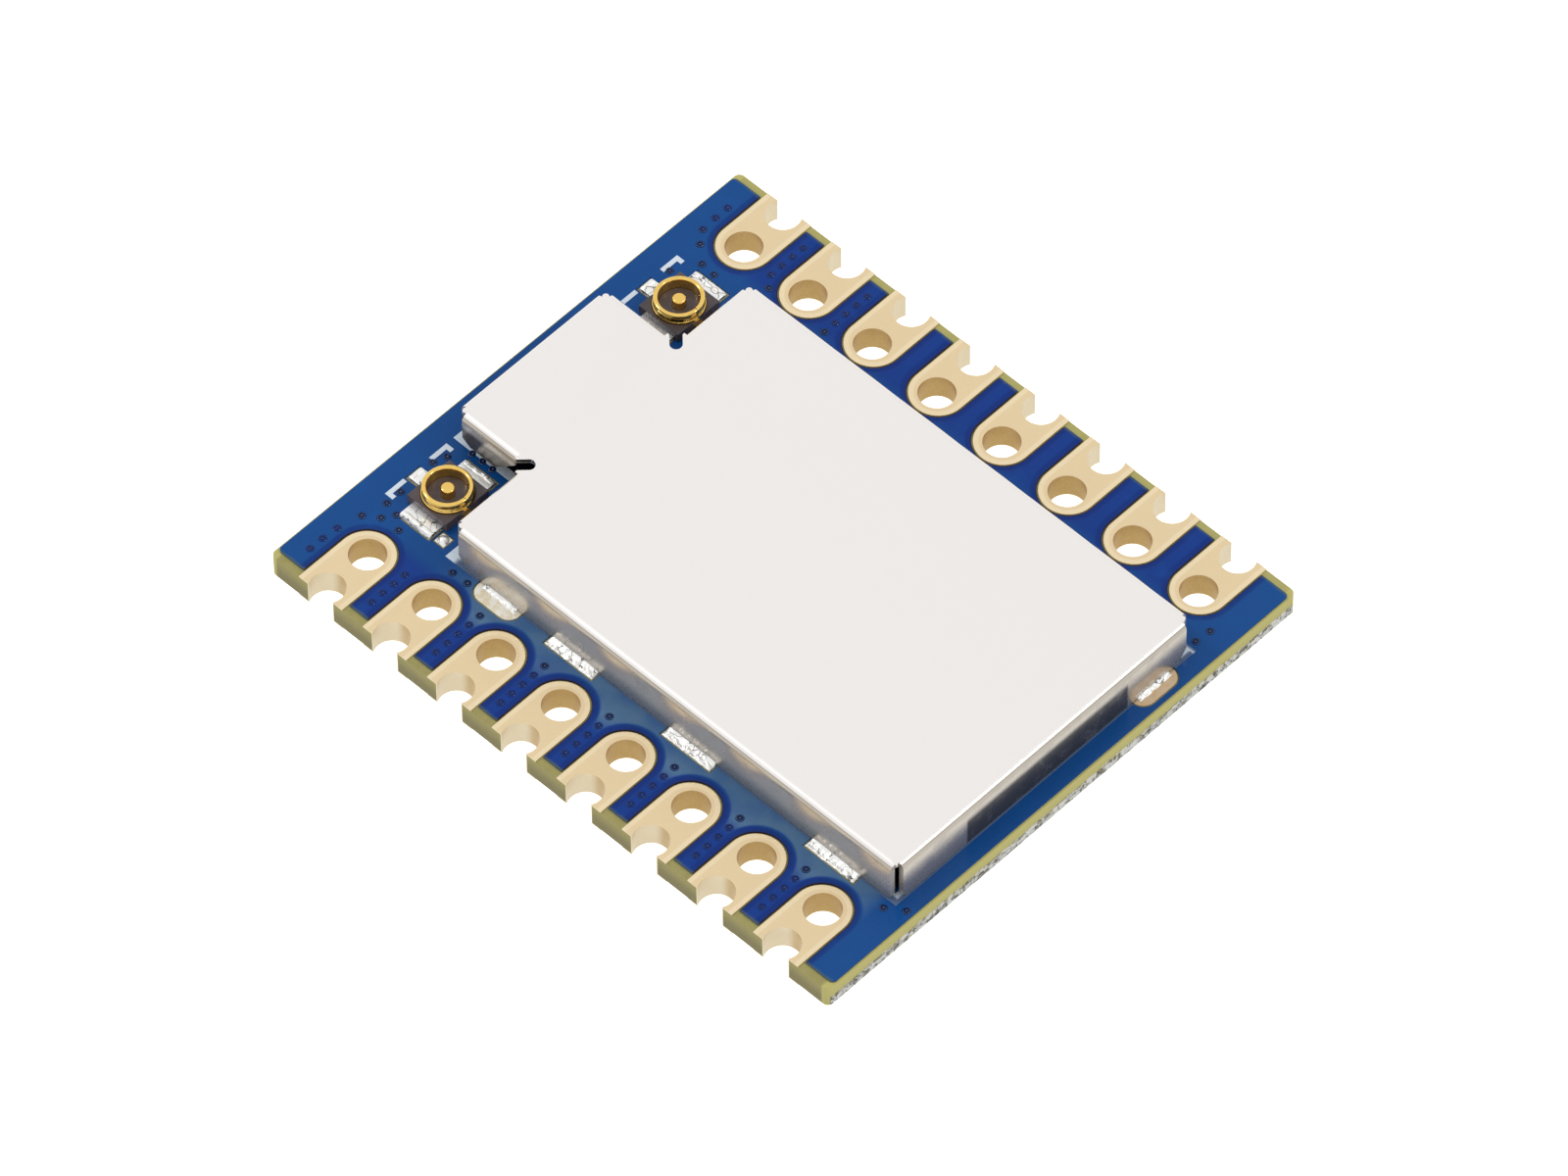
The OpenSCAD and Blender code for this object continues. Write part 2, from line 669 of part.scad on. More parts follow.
module can_solder() {
    color("whitesmoke") at_can() {
        on_near_wall() {
            for (j = plain_joints) solder_fillet(j, joint_w, joint_reach, solder_h);
            solder_fillet(near_tab, foot_w, bead_reach, bead_h);
        }
        on_far_wall() for (j = plain_joints) solder_fillet(j, joint_w, joint_reach, solder_h);
        on_end_wall() solder_fillet(end_joint, foot_w, bead_reach, bead_h);
        on_tongue_end() solder_fillet(tongue_joint, joint_w, joint_reach, solder_h);
    }
}

// Antenna connectors, about each connector's centre

module ground_ring_outline() {
    collar_r = ring_r + collar_reach;
    translate([ring_bore_r, leg_z]) square([ring_wall, ring_top - rim_r - leg_z]);
    translate([ring_bore_r + rim_r, leg_z]) square([ring_wall - 2 * rim_r, ring_top - leg_z]);
    for (r = [ring_bore_r + rim_r, ring_r - rim_r])
        translate([r, ring_top - rim_r]) circle(r = rim_r);
    translate([ring_bore_r, insulator_top - leg_t])
        square([collar_r - ring_bore_r, collar_h + leg_t]);
}

module ground_shell() {
    difference() {
        union() {
            rotate_extrude() ground_ring_outline();
            for (sy = [-1, 1]) {
                side_l = side_leg_reach - ring_bore_r - ring_wall / 2;
                translate([-side_leg_w / 2, sy > 0 ? side_leg_reach - side_l : -side_leg_reach, leg_z])
                    cube([side_leg_w, side_l, leg_t]);
            }
            translate([-end_leg_reach, -end_leg_w / 2, leg_z])
                cube([end_leg_reach - ring_bore_r - ring_wall / 2, end_leg_w, leg_t]);
        }
        translate([0, 0, leg_z - over]) cylinder(r = ring_bore_r, h = leg_t + over);
        // The ring's seam, open above the insulator, and the way out for the signal tail
        translate([ring_bore_r - rim_r, -seam_w / 2, insulator_top])
            cube([ring_wall + 2 * rim_r + collar_reach, seam_w, ring_h]);
        translate([0, -tail_w / 2 - leg_t, leg_z - over])
            cube([ring_r + collar_reach + rim_r, tail_w + 2 * leg_t, leg_t + over + leg_t / 2]);
    }
}

module centre_contact() {
    rotate_extrude() {
        square_h = mask_top + contact_h - leg_z;
        translate([0, leg_z]) square([contact_r, square_h - contact_tip_r]);
        translate([0, leg_z]) square([contact_r - contact_tip_r, square_h]);
        translate([contact_r - contact_tip_r, leg_z + square_h - contact_tip_r])
            intersection() {
                circle(r = contact_tip_r);
                square(contact_tip_r);
            }
    }
    translate([0, -tail_w / 2, leg_z]) cube([tail_reach, tail_w, leg_t]);
}

module insulator() {
    difference() {
        translate([-insulator_l / 2, -insulator_w / 2, mask_top])
            cube([insulator_l, insulator_w, insulator_h]);
        translate([0, 0, insulator_top - floor_drop]) cylinder(r = ring_bore_r, h = over);
        ground_shell();
        centre_contact();
    }
}

// Solder of a leg that runs along +X: a film under the leg and a fillet at its end
module leg_solder(root, leg_end, w) {
    translate([0, w / 2, land_top]) rotate([90, 0, 0]) linear_extrude(w) {
        film_t = leg_z - land_top;
        translate([root, 0]) square([leg_end - root, film_t]);
        polygon([[leg_end, 0], [leg_end + leg_solder_reach, 0], [leg_end, film_t + leg_t]]);
    }
}

module antenna_solder() {
    for (turn = [90, -90])
        rotate(turn) leg_solder(insulator_w / 2, side_leg_reach, side_leg_w);
    rotate(180) leg_solder(insulator_l / 2, end_leg_reach, end_leg_w);
    leg_solder(insulator_l / 2, tail_reach, tail_w);
}

module antenna_lands() {
    translate([0, 0, core_top]) linear_extrude(land_t) antenna_land_outlines(0);
}

module antenna_a_insulator() { color("dimgray") at_antenna_a() insulator(); }
module antenna_b_insulator() { color("dimgray") at_antenna_b() insulator(); }
module antenna_a_ground_shell() { color("goldenrod") at_antenna_a() ground_shell(); }
module antenna_b_ground_shell() { color("goldenrod") at_antenna_b() ground_shell(); }
module antenna_a_contact() { color("gold") at_antenna_a() centre_contact(); }
module antenna_b_contact() { color("gold") at_antenna_b() centre_contact(); }
module antenna_b_lands() { color("silver") at_antenna_b() antenna_lands(); }
module antenna_b_solder() { color("whitesmoke") at_antenna_b() antenna_solder(); }

module antenna_a_lands() {
    color("silver") {
        at_antenna_a() antenna_lands();
        translate([0, 0, core_top]) linear_extrude(land_t) test_land_outline(0);
    }
}

module antenna_a_solder() {
    color("whitesmoke") {
        at_antenna_a() antenna_solder();
        translate([0, 0, land_top]) linear_extrude(leg_t) test_land_outline(-plating_t);
    }
}

// Parts under the can

module under_can(place) { translate([can_mid + place[0], place[1], mask_top]) children(); }

// A leadless chip: a moulded body on a row of flat terminals along each side
module transceiver_chip() {
    terminal_t = 0.05;
    terminal_w = radio_pitch / 2;
    terminal_l = 0.4;
    under_can(radio_at) {
        color("dimgray") difference() {
            translate([-radio_w / 2, -radio_w / 2, terminal_t])
                cube([radio_w, radio_w, radio_h - terminal_t]);
            translate([-radio_w / 2 + 0.6, radio_w / 2 - 0.6, radio_h - terminal_t])
                cylinder(r = 0.2, h = over);
        }
        color("silver") {
            for (side = [0 : 3], i = [0 : radio_terminals - 1])
                rotate(90 * side)
                    translate([(i - (radio_terminals - 1) / 2) * radio_pitch - terminal_w / 2,
                        -radio_w / 2, 0])
                        cube([terminal_w, terminal_l, terminal_t]);
            translate([-radio_w * 0.35, -radio_w * 0.35, 0])
                cube([radio_w * 0.7, radio_w * 0.7, terminal_t]);
        }
    }
}

// A ceramic base with a metal lid set in from its edge
module lidded_package(l, w, h) {
    translate([-l / 2, -w / 2, 0]) cube([l, w, h - lid_t]);
    translate([-l / 2 + lid_in, -w / 2 + lid_in, h - lid_t])
        cube([l - 2 * lid_in, w - 2 * lid_in, lid_t]);
}

module reference_oscillator() {
    color("lightgray") under_can(oscillator_at) lidded_package(oscillator_l, oscillator_w, oscillator_h);
}

module watch_crystal() {
    color("lightgray") under_can(crystal_at) lidded_package(crystal_l, crystal_w, crystal_h);
}

// A square core with a round-cornered top and two end terminals
module power_inductor() {
    terminal_t = 0.1;
    color("gray") under_can(inductor_at) {
        for (sx = [-1, 1]) translate([sx * inductor_w * 0.36 - inductor_w * 0.12, -inductor_w / 2, 0])
            cube([inductor_w * 0.24, inductor_w, terminal_t]);
        translate([0, 0, terminal_t]) linear_extrude(inductor_h - terminal_t)
            rounded_rect(inductor_w, inductor_w, 0.3);
    }
}

module low_band_switch() {
    color("dimgray") under_can(low_switch_at) translate([-low_switch_w / 2, -low_switch_w / 2, 0])
        cube([low_switch_w, low_switch_w, low_switch_h]);
}

module high_band_switch() {
    color("dimgray") under_can(high_switch_at) translate([-high_switch_l / 2, -high_switch_w / 2, 0])
        cube([high_switch_l, high_switch_w, high_switch_h]);
}

module antenna_filter() {
    color("white") under_can(filter_at) translate([-filter_l / 2, -filter_w / 2, 0])
        cube([filter_l, filter_w, filter_h]);
}

// A chip part: a body between two slightly larger end caps
module chip(h) {
    step = 0.02;
    translate([-chip_l / 2 + step, -chip_w / 2 + step, step])
        cube([chip_l - 2 * step, chip_w - 2 * step, h - 2 * step]);
    for (x = [-chip_l / 2, chip_l / 2 - end_cap_l])
        translate([x, -chip_w / 2, 0]) cube([end_cap_l, chip_w, h]);
}

module chips(places, h) {
    for (p = places) under_can(p) rotate(p[2]) chip(h);
}

module chip_capacitors() { color("tan") chips(capacitors_at, capacitor_h); }
module chip_inductors() { color("lightblue") chips(inductors_at, chip_inductor_h); }
module chip_resistors() { color("black") chips(resistors_at, resistor_h); }

board_core();
solder_mask_top();
solder_mask_bottom();
via_barrels();
legend_top();
shield_can();
can_lands();
can_solder();
antenna_a_insulator();
antenna_a_ground_shell();
antenna_a_contact();
antenna_a_lands();
antenna_a_solder();
antenna_b_insulator();
antenna_b_ground_shell();
antenna_b_contact();
antenna_b_lands();
antenna_b_solder();
transceiver_chip();
reference_oscillator();
watch_crystal();
power_inductor();
low_band_switch();
high_band_switch();
antenna_filter();
chip_capacitors();
chip_inductors();
chip_resistors();
for (n = [1 : 2 * pads_per_row]) pad(n);
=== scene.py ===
"""Looks of the shielded radio module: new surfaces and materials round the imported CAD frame.

Run as a script inside Blender. Every length below is in millimetres until a mesh is built,
and the frame is the CAD's own: origin at the middle of the board's underside, +Z up, and the
antenna connectors at the -X end.
"""

import math

import bmesh
import bpy
import numpy as np
from bpy.props import (
    FloatProperty,
    FloatVectorProperty,
    IntProperty,
    PointerProperty,
)
from bpy.types import Operator, Panel, PropertyGroup
from mathutils import Matrix, Vector


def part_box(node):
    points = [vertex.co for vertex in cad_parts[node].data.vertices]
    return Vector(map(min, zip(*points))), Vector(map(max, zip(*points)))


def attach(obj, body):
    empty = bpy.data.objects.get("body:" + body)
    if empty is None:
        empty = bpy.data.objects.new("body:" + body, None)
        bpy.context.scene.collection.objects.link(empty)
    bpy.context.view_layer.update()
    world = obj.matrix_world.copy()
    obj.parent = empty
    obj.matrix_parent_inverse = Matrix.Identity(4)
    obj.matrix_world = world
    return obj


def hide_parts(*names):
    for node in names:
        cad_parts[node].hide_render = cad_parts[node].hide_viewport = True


bl_info = {
    "name": "Shielded Radio Module Looks",
    "version": (1, 0, 0),
    "blender": (4, 5, 0),
    "location": "3D View > Sidebar > Radio Module",
    "description": "Solder, connectors, via covers and finishes for the shielded radio module",
    "category": "Object",
}

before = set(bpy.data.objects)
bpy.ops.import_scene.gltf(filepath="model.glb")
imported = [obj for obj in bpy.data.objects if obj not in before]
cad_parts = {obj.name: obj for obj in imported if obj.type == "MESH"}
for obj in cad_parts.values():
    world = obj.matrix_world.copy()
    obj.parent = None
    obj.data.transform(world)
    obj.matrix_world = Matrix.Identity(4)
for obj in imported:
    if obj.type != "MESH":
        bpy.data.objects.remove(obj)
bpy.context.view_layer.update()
MM = 0.001


def cad_box(node):
    """The lowest and highest corners of a CAD node, in millimetres."""
    low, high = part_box(node)
    return np.array(low) / MM, np.array(high) / MM


def cad_points(node):
    """The corners of a CAD node's mesh, in millimetres."""
    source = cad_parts[node]
    points = np.empty(len(source.data.vertices) * 3)
    source.data.vertices.foreach_get("co", points)
    world = np.array(source.matrix_world)
    return (points.reshape(-1, 3) @ world[:3, :3].T + world[:3, 3]) / MM


def middle(box):
    return (box[0] + box[1]) / 2


def islands(node):
    """Boxes of a CAD node's separate solids, in millimetres, told apart by their triangles' corners."""
    mesh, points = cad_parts[node].data, cad_points(node)
    same = np.unique(np.round(points, 4), axis=0, return_inverse=True)[1].ravel()
    mesh.calc_loop_triangles()
    corners = np.empty(len(mesh.loop_triangles) * 3, dtype=np.int32)
    mesh.loop_triangles.foreach_get("vertices", corners)
    triangles = same[corners].reshape(-1, 3)
    label, before = np.arange(same.max() + 1), None
    while before is None or (label != before).any():
        before = label.copy()
        lowest = label[triangles].min(axis=1)
        for k in range(3):
            np.minimum.at(label, triangles[:, k], lowest)
    label = label[same]
    return [(points[label == k].min(axis=0), points[label == k].max(axis=0)) for k in np.unique(label)]


BOARD_LOW, BOARD_HIGH = cad_box("board_core")
CAN_LOW, CAN_HIGH = cad_box("shield_can")
MASK_TOP = cad_box("solder_mask_top")[1][2]
LAND_TOP = cad_box("can_lands")[1][2]
PAD_LOW, PAD_HIGH = cad_box("pad_01")

# Pads: sixteen in two rows, each land a slot with a round inner end
PAD_NODES = [f"pad_{n:02d}" for n in range(1, 17)]
PITCH = cad_box("pad_02")[0][0] - PAD_LOW[0]
ROW_HALF = (len(PAD_NODES) / 2 - 1) / 2 * PITCH
LAND_HALF = (PAD_HIGH[0] - PAD_LOW[0]) / 2
LAND_INNER = -PAD_HIGH[1]
LAND_ROUND = LAND_INNER + LAND_HALF

# The can in plan: a tongue at its low-X end, and a wide part behind a shoulder
CAN_POINTS = cad_points("shield_can")
TONGUE_HALF = np.abs(CAN_POINTS[CAN_POINTS[:, 0] < CAN_LOW[0] + 1, 1]).max()
SHOULDER = CAN_POINTS[np.abs(CAN_POINTS[:, 1]) > TONGUE_HALF + 1, 0].min()

# Heights inside the board that part its upper face from its lower one
UPPER_LOW, UPPER_HIGH = 0.5, 0.6


def linear(red, green, blue):
    """A colour read as 8-bit sRGB values, as the linear values that shaders take."""
    c = np.array([red, green, blue]) / 255.0
    return tuple(np.where(c <= 0.04045, c / 12.92, ((c + 0.055) / 1.055) ** 2.4))


def scaled(tone, *factors):
    """A colour with its channels multiplied by one factor or by three, held to 1."""
    factors = factors * 3 if len(factors) == 1 else factors
    return tuple(min(1, c * k) for c, k in zip(tone, factors))


# Settings


def colour(name, text, value):
    return FloatVectorProperty(
        name=name, description=text, subtype="COLOR", size=3, min=0, max=1, default=value
    )


def length(name, text, value):
    """A length property, held in metres as Blender's own lengths are."""
    return FloatProperty(
        name=name, description=text, default=value * MM, min=0, unit="LENGTH", subtype="DISTANCE"
    )


def angle(name, text, degrees):
    return FloatProperty(
        name=name, description=text, default=math.radians(degrees), subtype="ANGLE"
    )


def power(name, text, value):
    return FloatProperty(name=name, description=text, default=value, min=0, unit="POWER")


class BoardSettings(PropertyGroup):
    """Colours of the board and sizes of the covers over its vias."""

    mask_colour: colour("Mask", "Solder mask over copper", linear(16, 74, 140))
    mask_pad_colour: colour("Mask at pads", "Solder mask between the pads", linear(12, 56, 136))
    mask_ring_colour: colour(
        "Mask over laminate", "Mask where no copper is under it", linear(6, 42, 116)
    )
    # Colour of a painted reflection of the can's low-Y wall in the mask beside it
    mask_wall_reflection_colour: colour("Mask at the can", "Solder mask close to the can", linear(80, 114, 150))
    laminate_colour: colour("Laminate", "Cut edge of the laminate", linear(158, 150, 92))
    gold_colour: colour("Pads", "Gold plating of the pads", linear(243, 220, 178))
    legend_colour: colour("Legend", "White print", linear(214, 226, 238))
    via_radius: length("Via cover radius", "Outer radius of the mask drawn in over a via", 0.13)
    via_rise: length("Via cover rise", "Height of the lip round a via", 0.034)


class CanSettings(PropertyGroup):
    """Finish of the can and of its solder joints."""

    metal_colour: colour("Sheet", "Tinned sheet of the can", linear(254, 250, 247))
    edge_bevel: length("Edge rounding", "Rounding of the sheet's cut edges", 0.018)
    solder_colour: colour("Solder", "Bright rough solder", linear(255, 255, 253))
    solder_lumps: length("Solder lumps", "Depth of the lumps in the solder", 0.03)


class AntennaSettings(PropertyGroup):
    """Sizes and colours of the antenna connectors."""

    gold_colour: colour("Gold", "Polished plating of the rings and contacts", linear(255, 216, 122))
    plastic_colour: colour("Insulator", "Moulded insulator", linear(84, 75, 80))
    groove_depth: length("Groove", "Depth of the catch groove round the ring", 0.03)
    steps_round: IntProperty(
        name="Steps round", description="Steps round each ring", default=96, min=24, max=256
    )


class StageSettings(PropertyGroup):
    """The camera's direction and lens, and the strength of the lights."""

    azimuth: angle("Azimuth", "Camera's turn about Z", 44.379)
    elevation: angle("Elevation", "Camera's height angle", 53.136)
    roll: angle("Roll", "Camera's roll", -0.517)
    distance: length("Distance", "From the camera to the aim point", 438.33)
    lens: FloatProperty(
        name="Lens", description="Focal length in millimetres", default=358.03, min=1
    )
    sky_strength: FloatProperty(
        name="Sky", description="Strength of the even light", default=0.83, min=0
    )
    floor_tone: FloatProperty(
        name="Floor", description="How much light the floor throws back", default=0.3, min=0, max=1
    )
    floor_glow: FloatProperty(
        name="Floor glow", description="Light from the floor itself", default=0.7, min=0
    )
    key_power: power("Key light", "Power of the left light", 0.22)
    fill_power: power("Fill light", "Power of the right light", 0.16)


# Meshes from arrays


def grid_faces(rows, cols, wrap_rows=False, wrap_cols=False):
    """Quads of a grid of points numbered row by row, wrapping round in either direction."""
    r = np.arange(rows if wrap_rows else rows - 1)
    c = np.arange(cols if wrap_cols else cols - 1)
    r, c = np.meshgrid(r, c, indexing="ij")
    r2, c2 = (r + 1) % rows, (c + 1) % cols
    return np.stack([r * cols + c, r * cols + c2, r2 * cols + c2, r2 * cols + c], -1).reshape(-1, 4)


def new_object(name, parts, material, body="root", smooth=40):
    """One object from (points, faces) parts in millimetres, welded, closed and facing outwards."""
    points, faces, start = [], [], 0
    for p, f in parts:
        p = np.asarray(p, dtype=float).reshape(-1, 3)
        points.append(p)
        faces.append(np.asarray(f) + start)
        start += len(p)
    mesh = bpy.data.meshes.new(name)
    mesh.from_pydata((np.concatenate(points) * MM).tolist(), [], np.concatenate(faces).tolist())
    work = bmesh.new()
    work.from_mesh(mesh)
    bmesh.ops.remove_doubles(work, verts=work.verts, dist=1e-7)
    bmesh.ops.dissolve_degenerate(work, edges=work.edges, dist=1e-8)
    open_edges = [e for e in work.edges if e.is_boundary]
    if open_edges:
        bmesh.ops.holes_fill(work, edges=open_edges, sides=0)
    bmesh.ops.recalc_face_normals(work, faces=work.faces)
    work.to_mesh(mesh)
    work.free()
    mesh.shade_smooth()
    mesh.set_sharp_from_angle(angle=math.radians(smooth))
    mesh.materials.append(material)
    piece = bpy.data.objects.new(name, mesh)
    bpy.context.scene.collection.objects.link(piece)
    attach(piece, body)
    return piece


def welded_copy(node, name, bevel, material):
    """A copy of a CAD node with its loose triangles welded and its edges slightly rounded."""
    source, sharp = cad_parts[node], math.radians(35)
    mesh = source.data.copy()
    mesh.name = name
    work = bmesh.new()
    work.from_mesh(mesh)
    bmesh.ops.remove_doubles(work, verts=work.verts, dist=2e-7)
    bmesh.ops.dissolve_limit(
        work, angle_limit=math.radians(0.5), verts=work.verts, edges=work.edges, delimit={"NORMAL"}
    )
    work.to_mesh(mesh)
    work.free()
    if mesh.attributes.get("custom_normal"):
        mesh.attributes.remove(mesh.attributes["custom_normal"])
    mesh.shade_smooth()
    mesh.set_sharp_from_angle(angle=sharp)
    mesh.materials.clear()
    mesh.materials.append(material)
    piece = bpy.data.objects.new(name, mesh)
    piece.matrix_world = source.matrix_world
    bpy.context.scene.collection.objects.link(piece)
    if bevel > 0:
        edge = piece.modifiers.new("Edge rounding", "BEVEL")
        edge.width = bevel
        edge.segments = 2
        edge.limit_method = "ANGLE"
        edge.angle_limit = sharp
        edge.harden_normals = False
        edge.use_clamp_overlap = True
    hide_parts(node)
    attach(piece, "root")
    return piece


def lattice_noise(x, y, cell, seed):
    """Smooth noise from -1 to 1: random values on a square lattice, blended by 3t^2 - 2t^3."""
    table = np.random.default_rng(seed).uniform(-1, 1, (64, 64))
    gx, gy = x / cell, y / cell
    ix, iy = np.floor(gx).astype(int), np.floor(gy).astype(int)
    tx, ty = gx - ix, gy - iy
    tx, ty = tx * tx * (3 - 2 * tx), ty * ty * (3 - 2 * ty)
    a, b = table[ix % 64, iy % 64], table[(ix + 1) % 64, iy % 64]
    c, d = table[ix % 64, (iy + 1) % 64], table[(ix + 1) % 64, (iy + 1) % 64]
    return (a * (1 - tx) + b * tx) * (1 - ty) + (c * (1 - tx) + d * tx) * ty


def revolved(profile, centre, steps, gap=0.0):
    """A profile (radius, height) turned about the upright line through centre.

    Point (u, v) is centre + (r(v) cos u, r(v) sin u, z(v)). A gap in radians about +X stays open.
    """
    profile = np.asarray(profile, dtype=float)
    if gap > 0:
        u = np.linspace(gap / 2, 2 * math.pi - gap / 2, steps)
    else:
        u = np.linspace(0, 2 * math.pi, steps, endpoint=False)
    r, z = profile[:, 0][None, :], profile[:, 1][None, :]
    points = np.stack(
        [
            centre[0] + r * np.cos(u)[:, None],
            centre[1] + r * np.sin(u)[:, None],
            centre[2] + z * np.ones_like(u)[:, None],
        ],
        -1,
    )
    return points, grid_faces(steps, len(profile), wrap_rows=gap == 0, wrap_cols=gap > 0)


def rounded_block(low, high, radius, steps=4):
    """A box with rounded edges: the point with unit normal n is the inner box's corner plus radius n.

    The normal runs over the sphere by longitude and latitude, and each quadrant takes its own corner.
    """
    low, high = np.asarray(low, float), np.asarray(high, float)
    radius = min(radius, (high - low).min() / 2.001)
    quarter = np.linspace(0, math.pi / 2, steps + 1)
    lon = np.concatenate([quarter + k * math.pi / 2 for k in range(4)])
    sx = np.repeat([1, -1, -1, 1], steps + 1)
    sy = np.repeat([1, 1, -1, -1], steps + 1)
    lat = np.concatenate([quarter - math.pi / 2, quarter])
    sz = np.repeat([-1, 1], steps + 1)
    n = np.stack(
        [
            np.cos(lat)[:, None] * np.cos(lon)[None, :],
            np.cos(lat)[:, None] * np.sin(lon)[None, :],
            np.repeat(np.sin(lat)[:, None], len(lon), 1),
        ],
        -1,
    )
    sign = np.stack(
        [
            np.repeat(sx[None, :], len(lat), 0),
            np.repeat(sy[None, :], len(lat), 0),
            np.repeat(sz[:, None], len(lon), 1),
        ],
        -1,
    )
    centre, half = (low + high) / 2, (high - low) / 2 - radius
    return centre + sign * half + radius * n, grid_faces(len(lat), len(lon), wrap_cols=True)


def raised_patch(x, y, height, bottom):
    """A height field over a grid of places, closed by a skirt straight down to a flat bottom."""
    rows, cols = x.shape
    edges = [np.pad(v, 1, mode="edge") for v in (x, y)]
    points = np.stack([*edges, np.full((rows + 2, cols + 2), bottom)], -1)
    points[1:-1, 1:-1, 2] = bottom + height
    return points, grid_faces(rows + 2, cols + 2)


def turned(points, quarter_turns, shift=(0, 0, 0)):
    """Points turned about Z by quarter turns and then moved."""
    c, s = [(1, 0), (0, 1), (-1, 0), (0, -1)][quarter_turns % 4]
    turn = np.array([[c, s, 0], [-s, c, 0], [0, 0, 1]])
    return np.asarray(points) @ turn + np.asarray(shift)


# Materials


class Shader:
    """A material's node tree, built by short calls."""

    def __init__(self, name):
        self.material = bpy.data.materials.new(name)
        self.material.use_nodes = True
        self.tree = self.material.node_tree
        self.tree.nodes.clear()
        self.out = self.tree.nodes.new("ShaderNodeOutputMaterial")
        self.bsdf = self.tree.nodes.new("ShaderNodeBsdfPrincipled")
        self.tree.links.new(self.bsdf.outputs[0], self.out.inputs[0])
        coordinates = self.tree.nodes.new("ShaderNodeTexCoord")
        self.mm = self.vector("SCALE", coordinates.outputs["Object"], scale=1 / MM)

    def put(self, socket, value):
        """Links an output to an input, or sets the input to a constant; a colour may lack its alpha."""
        if isinstance(value, bpy.types.NodeSocket):
            self.tree.links.new(value, socket)
        elif value is not None:
            if socket.type == "RGBA" and len(value) == 3:
                value = (*value, 1)
            socket.default_value = value

    def vector(self, operation, a, b=None, scale=None):
        node = self.tree.nodes.new("ShaderNodeVectorMath")
        node.operation = operation
        self.put(node.inputs[0], a)
        if b is not None:
            self.put(node.inputs[1], b)
        if scale is not None:
            self.put(node.inputs["Scale"], scale)
        return node.outputs[0]

    def math(self, operation, a, b=None):
        """One sum of Blender's Math node, such as ADD, of one value or two."""
        node = self.tree.nodes.new("ShaderNodeMath")
        node.operation = operation
        for socket, value in zip(node.inputs, (a, b)):
            self.put(socket, value)
        return node.outputs[0]

    def times(self, first, *others):
        """The product of two or more values."""
        for other in others:
            first = self.math("MULTIPLY", first, other)
        return first

    def ramp(self, value, low, high, out_low=0.0, out_high=1.0):
        """A smooth step from out_low, where the value is low, to out_high, where it is high."""
        node = self.tree.nodes.new("ShaderNodeMapRange")
        node.interpolation_type = "SMOOTHSTEP"
        for socket, v in zip(node.inputs, (value, low, high, out_low, out_high)):
            self.put(socket, v)
        return node.outputs[0]

    def axes(self):
        """The three coordinates of a place, in millimetres."""
        node = self.tree.nodes.new("ShaderNodeSeparateXYZ")
        self.put(node.inputs[0], self.mm)
        return node.outputs

    def noise(self, scale, detail=2.0, rough=0.5, stretch=None):
        """Noise from 0 to 1 with scale bumps a millimetre, times the stretch along each axis."""
        source = self.mm if stretch is None else self.vector("MULTIPLY", self.mm, stretch)
        node = self.tree.nodes.new("ShaderNodeTexNoise")
        self.put(node.inputs["Vector"], source)
        node.inputs["Scale"].default_value = scale
        node.inputs["Detail"].default_value = detail
        node.inputs["Roughness"].default_value = rough
        return node.outputs[0]

    def mix(self, factor, a, b):
        """Colour a where the factor is 0, and b where it is 1."""
        node = self.tree.nodes.new("ShaderNodeMix")
        node.data_type = "RGBA"
        self.put(node.inputs[0], factor)
        self.put(node.inputs[6], a)
        self.put(node.inputs[7], b)
        return node.outputs[2]

    def bump(self, height, depth, strength=1.0, below=None):
        """A normal tilted by a height, whose full range is depth millimetres."""
        node = self.tree.nodes.new("ShaderNodeBump")
        node.inputs["Strength"].default_value = strength
        node.inputs["Distance"].default_value = depth * MM
        self.put(node.inputs["Height"], height)
        if below is not None:
            self.put(node.inputs["Normal"], below)
        return node.outputs[0]

    def see_through_from_below(self):
        """Lets rays pass that meet the back of a face."""
        geometry = self.tree.nodes.new("ShaderNodeNewGeometry")
        clear = self.tree.nodes.new("ShaderNodeBsdfTransparent")
        either = self.tree.nodes.new("ShaderNodeMixShader")
        self.tree.links.new(geometry.outputs["Backfacing"], either.inputs[0])
        self.tree.links.new(self.bsdf.outputs[0], either.inputs[1])
        self.tree.links.new(clear.outputs[0], either.inputs[2])
        self.tree.links.new(either.outputs[0], self.out.inputs[0])

    def set(self, **values):
        """Sets or links the main shader's inputs, and gives the material."""
        names = {
            "color": "Base Color",
            "metal": "Metallic",
            "rough": "Roughness",
            "normal": "Normal",
            "specular": "Specular IOR Level",
        }
        for key, value in values.items():
            self.put(self.bsdf.inputs[names[key]], value)
        return self.material


def pad_distance(s):
    """Distance outside the nearest pad's land, in millimetres, with |x| and |y|.

    The land is a slot with a round inner end, so the distance is sqrt(across^2 + inward^2) - LAND_HALF.
    """
    x, y, _ = s.axes()
    ax, ay = s.math("ABSOLUTE", x), s.math("ABSOLUTE", y)
    across = s.math("SUBTRACT", s.math("FLOORED_MODULO", x, PITCH), PITCH / 2)
    across = s.math("MAXIMUM", s.math("ABSOLUTE", across), s.math("SUBTRACT", ax, ROW_HALF))
    inward = s.math("MAXIMUM", s.math("SUBTRACT", LAND_ROUND, ay), 0.0)
    squares = s.math("ADD", s.times(across, across), s.times(inward, inward))
    return s.math("SUBTRACT", s.math("SQRT", squares), LAND_HALF), ax, ay


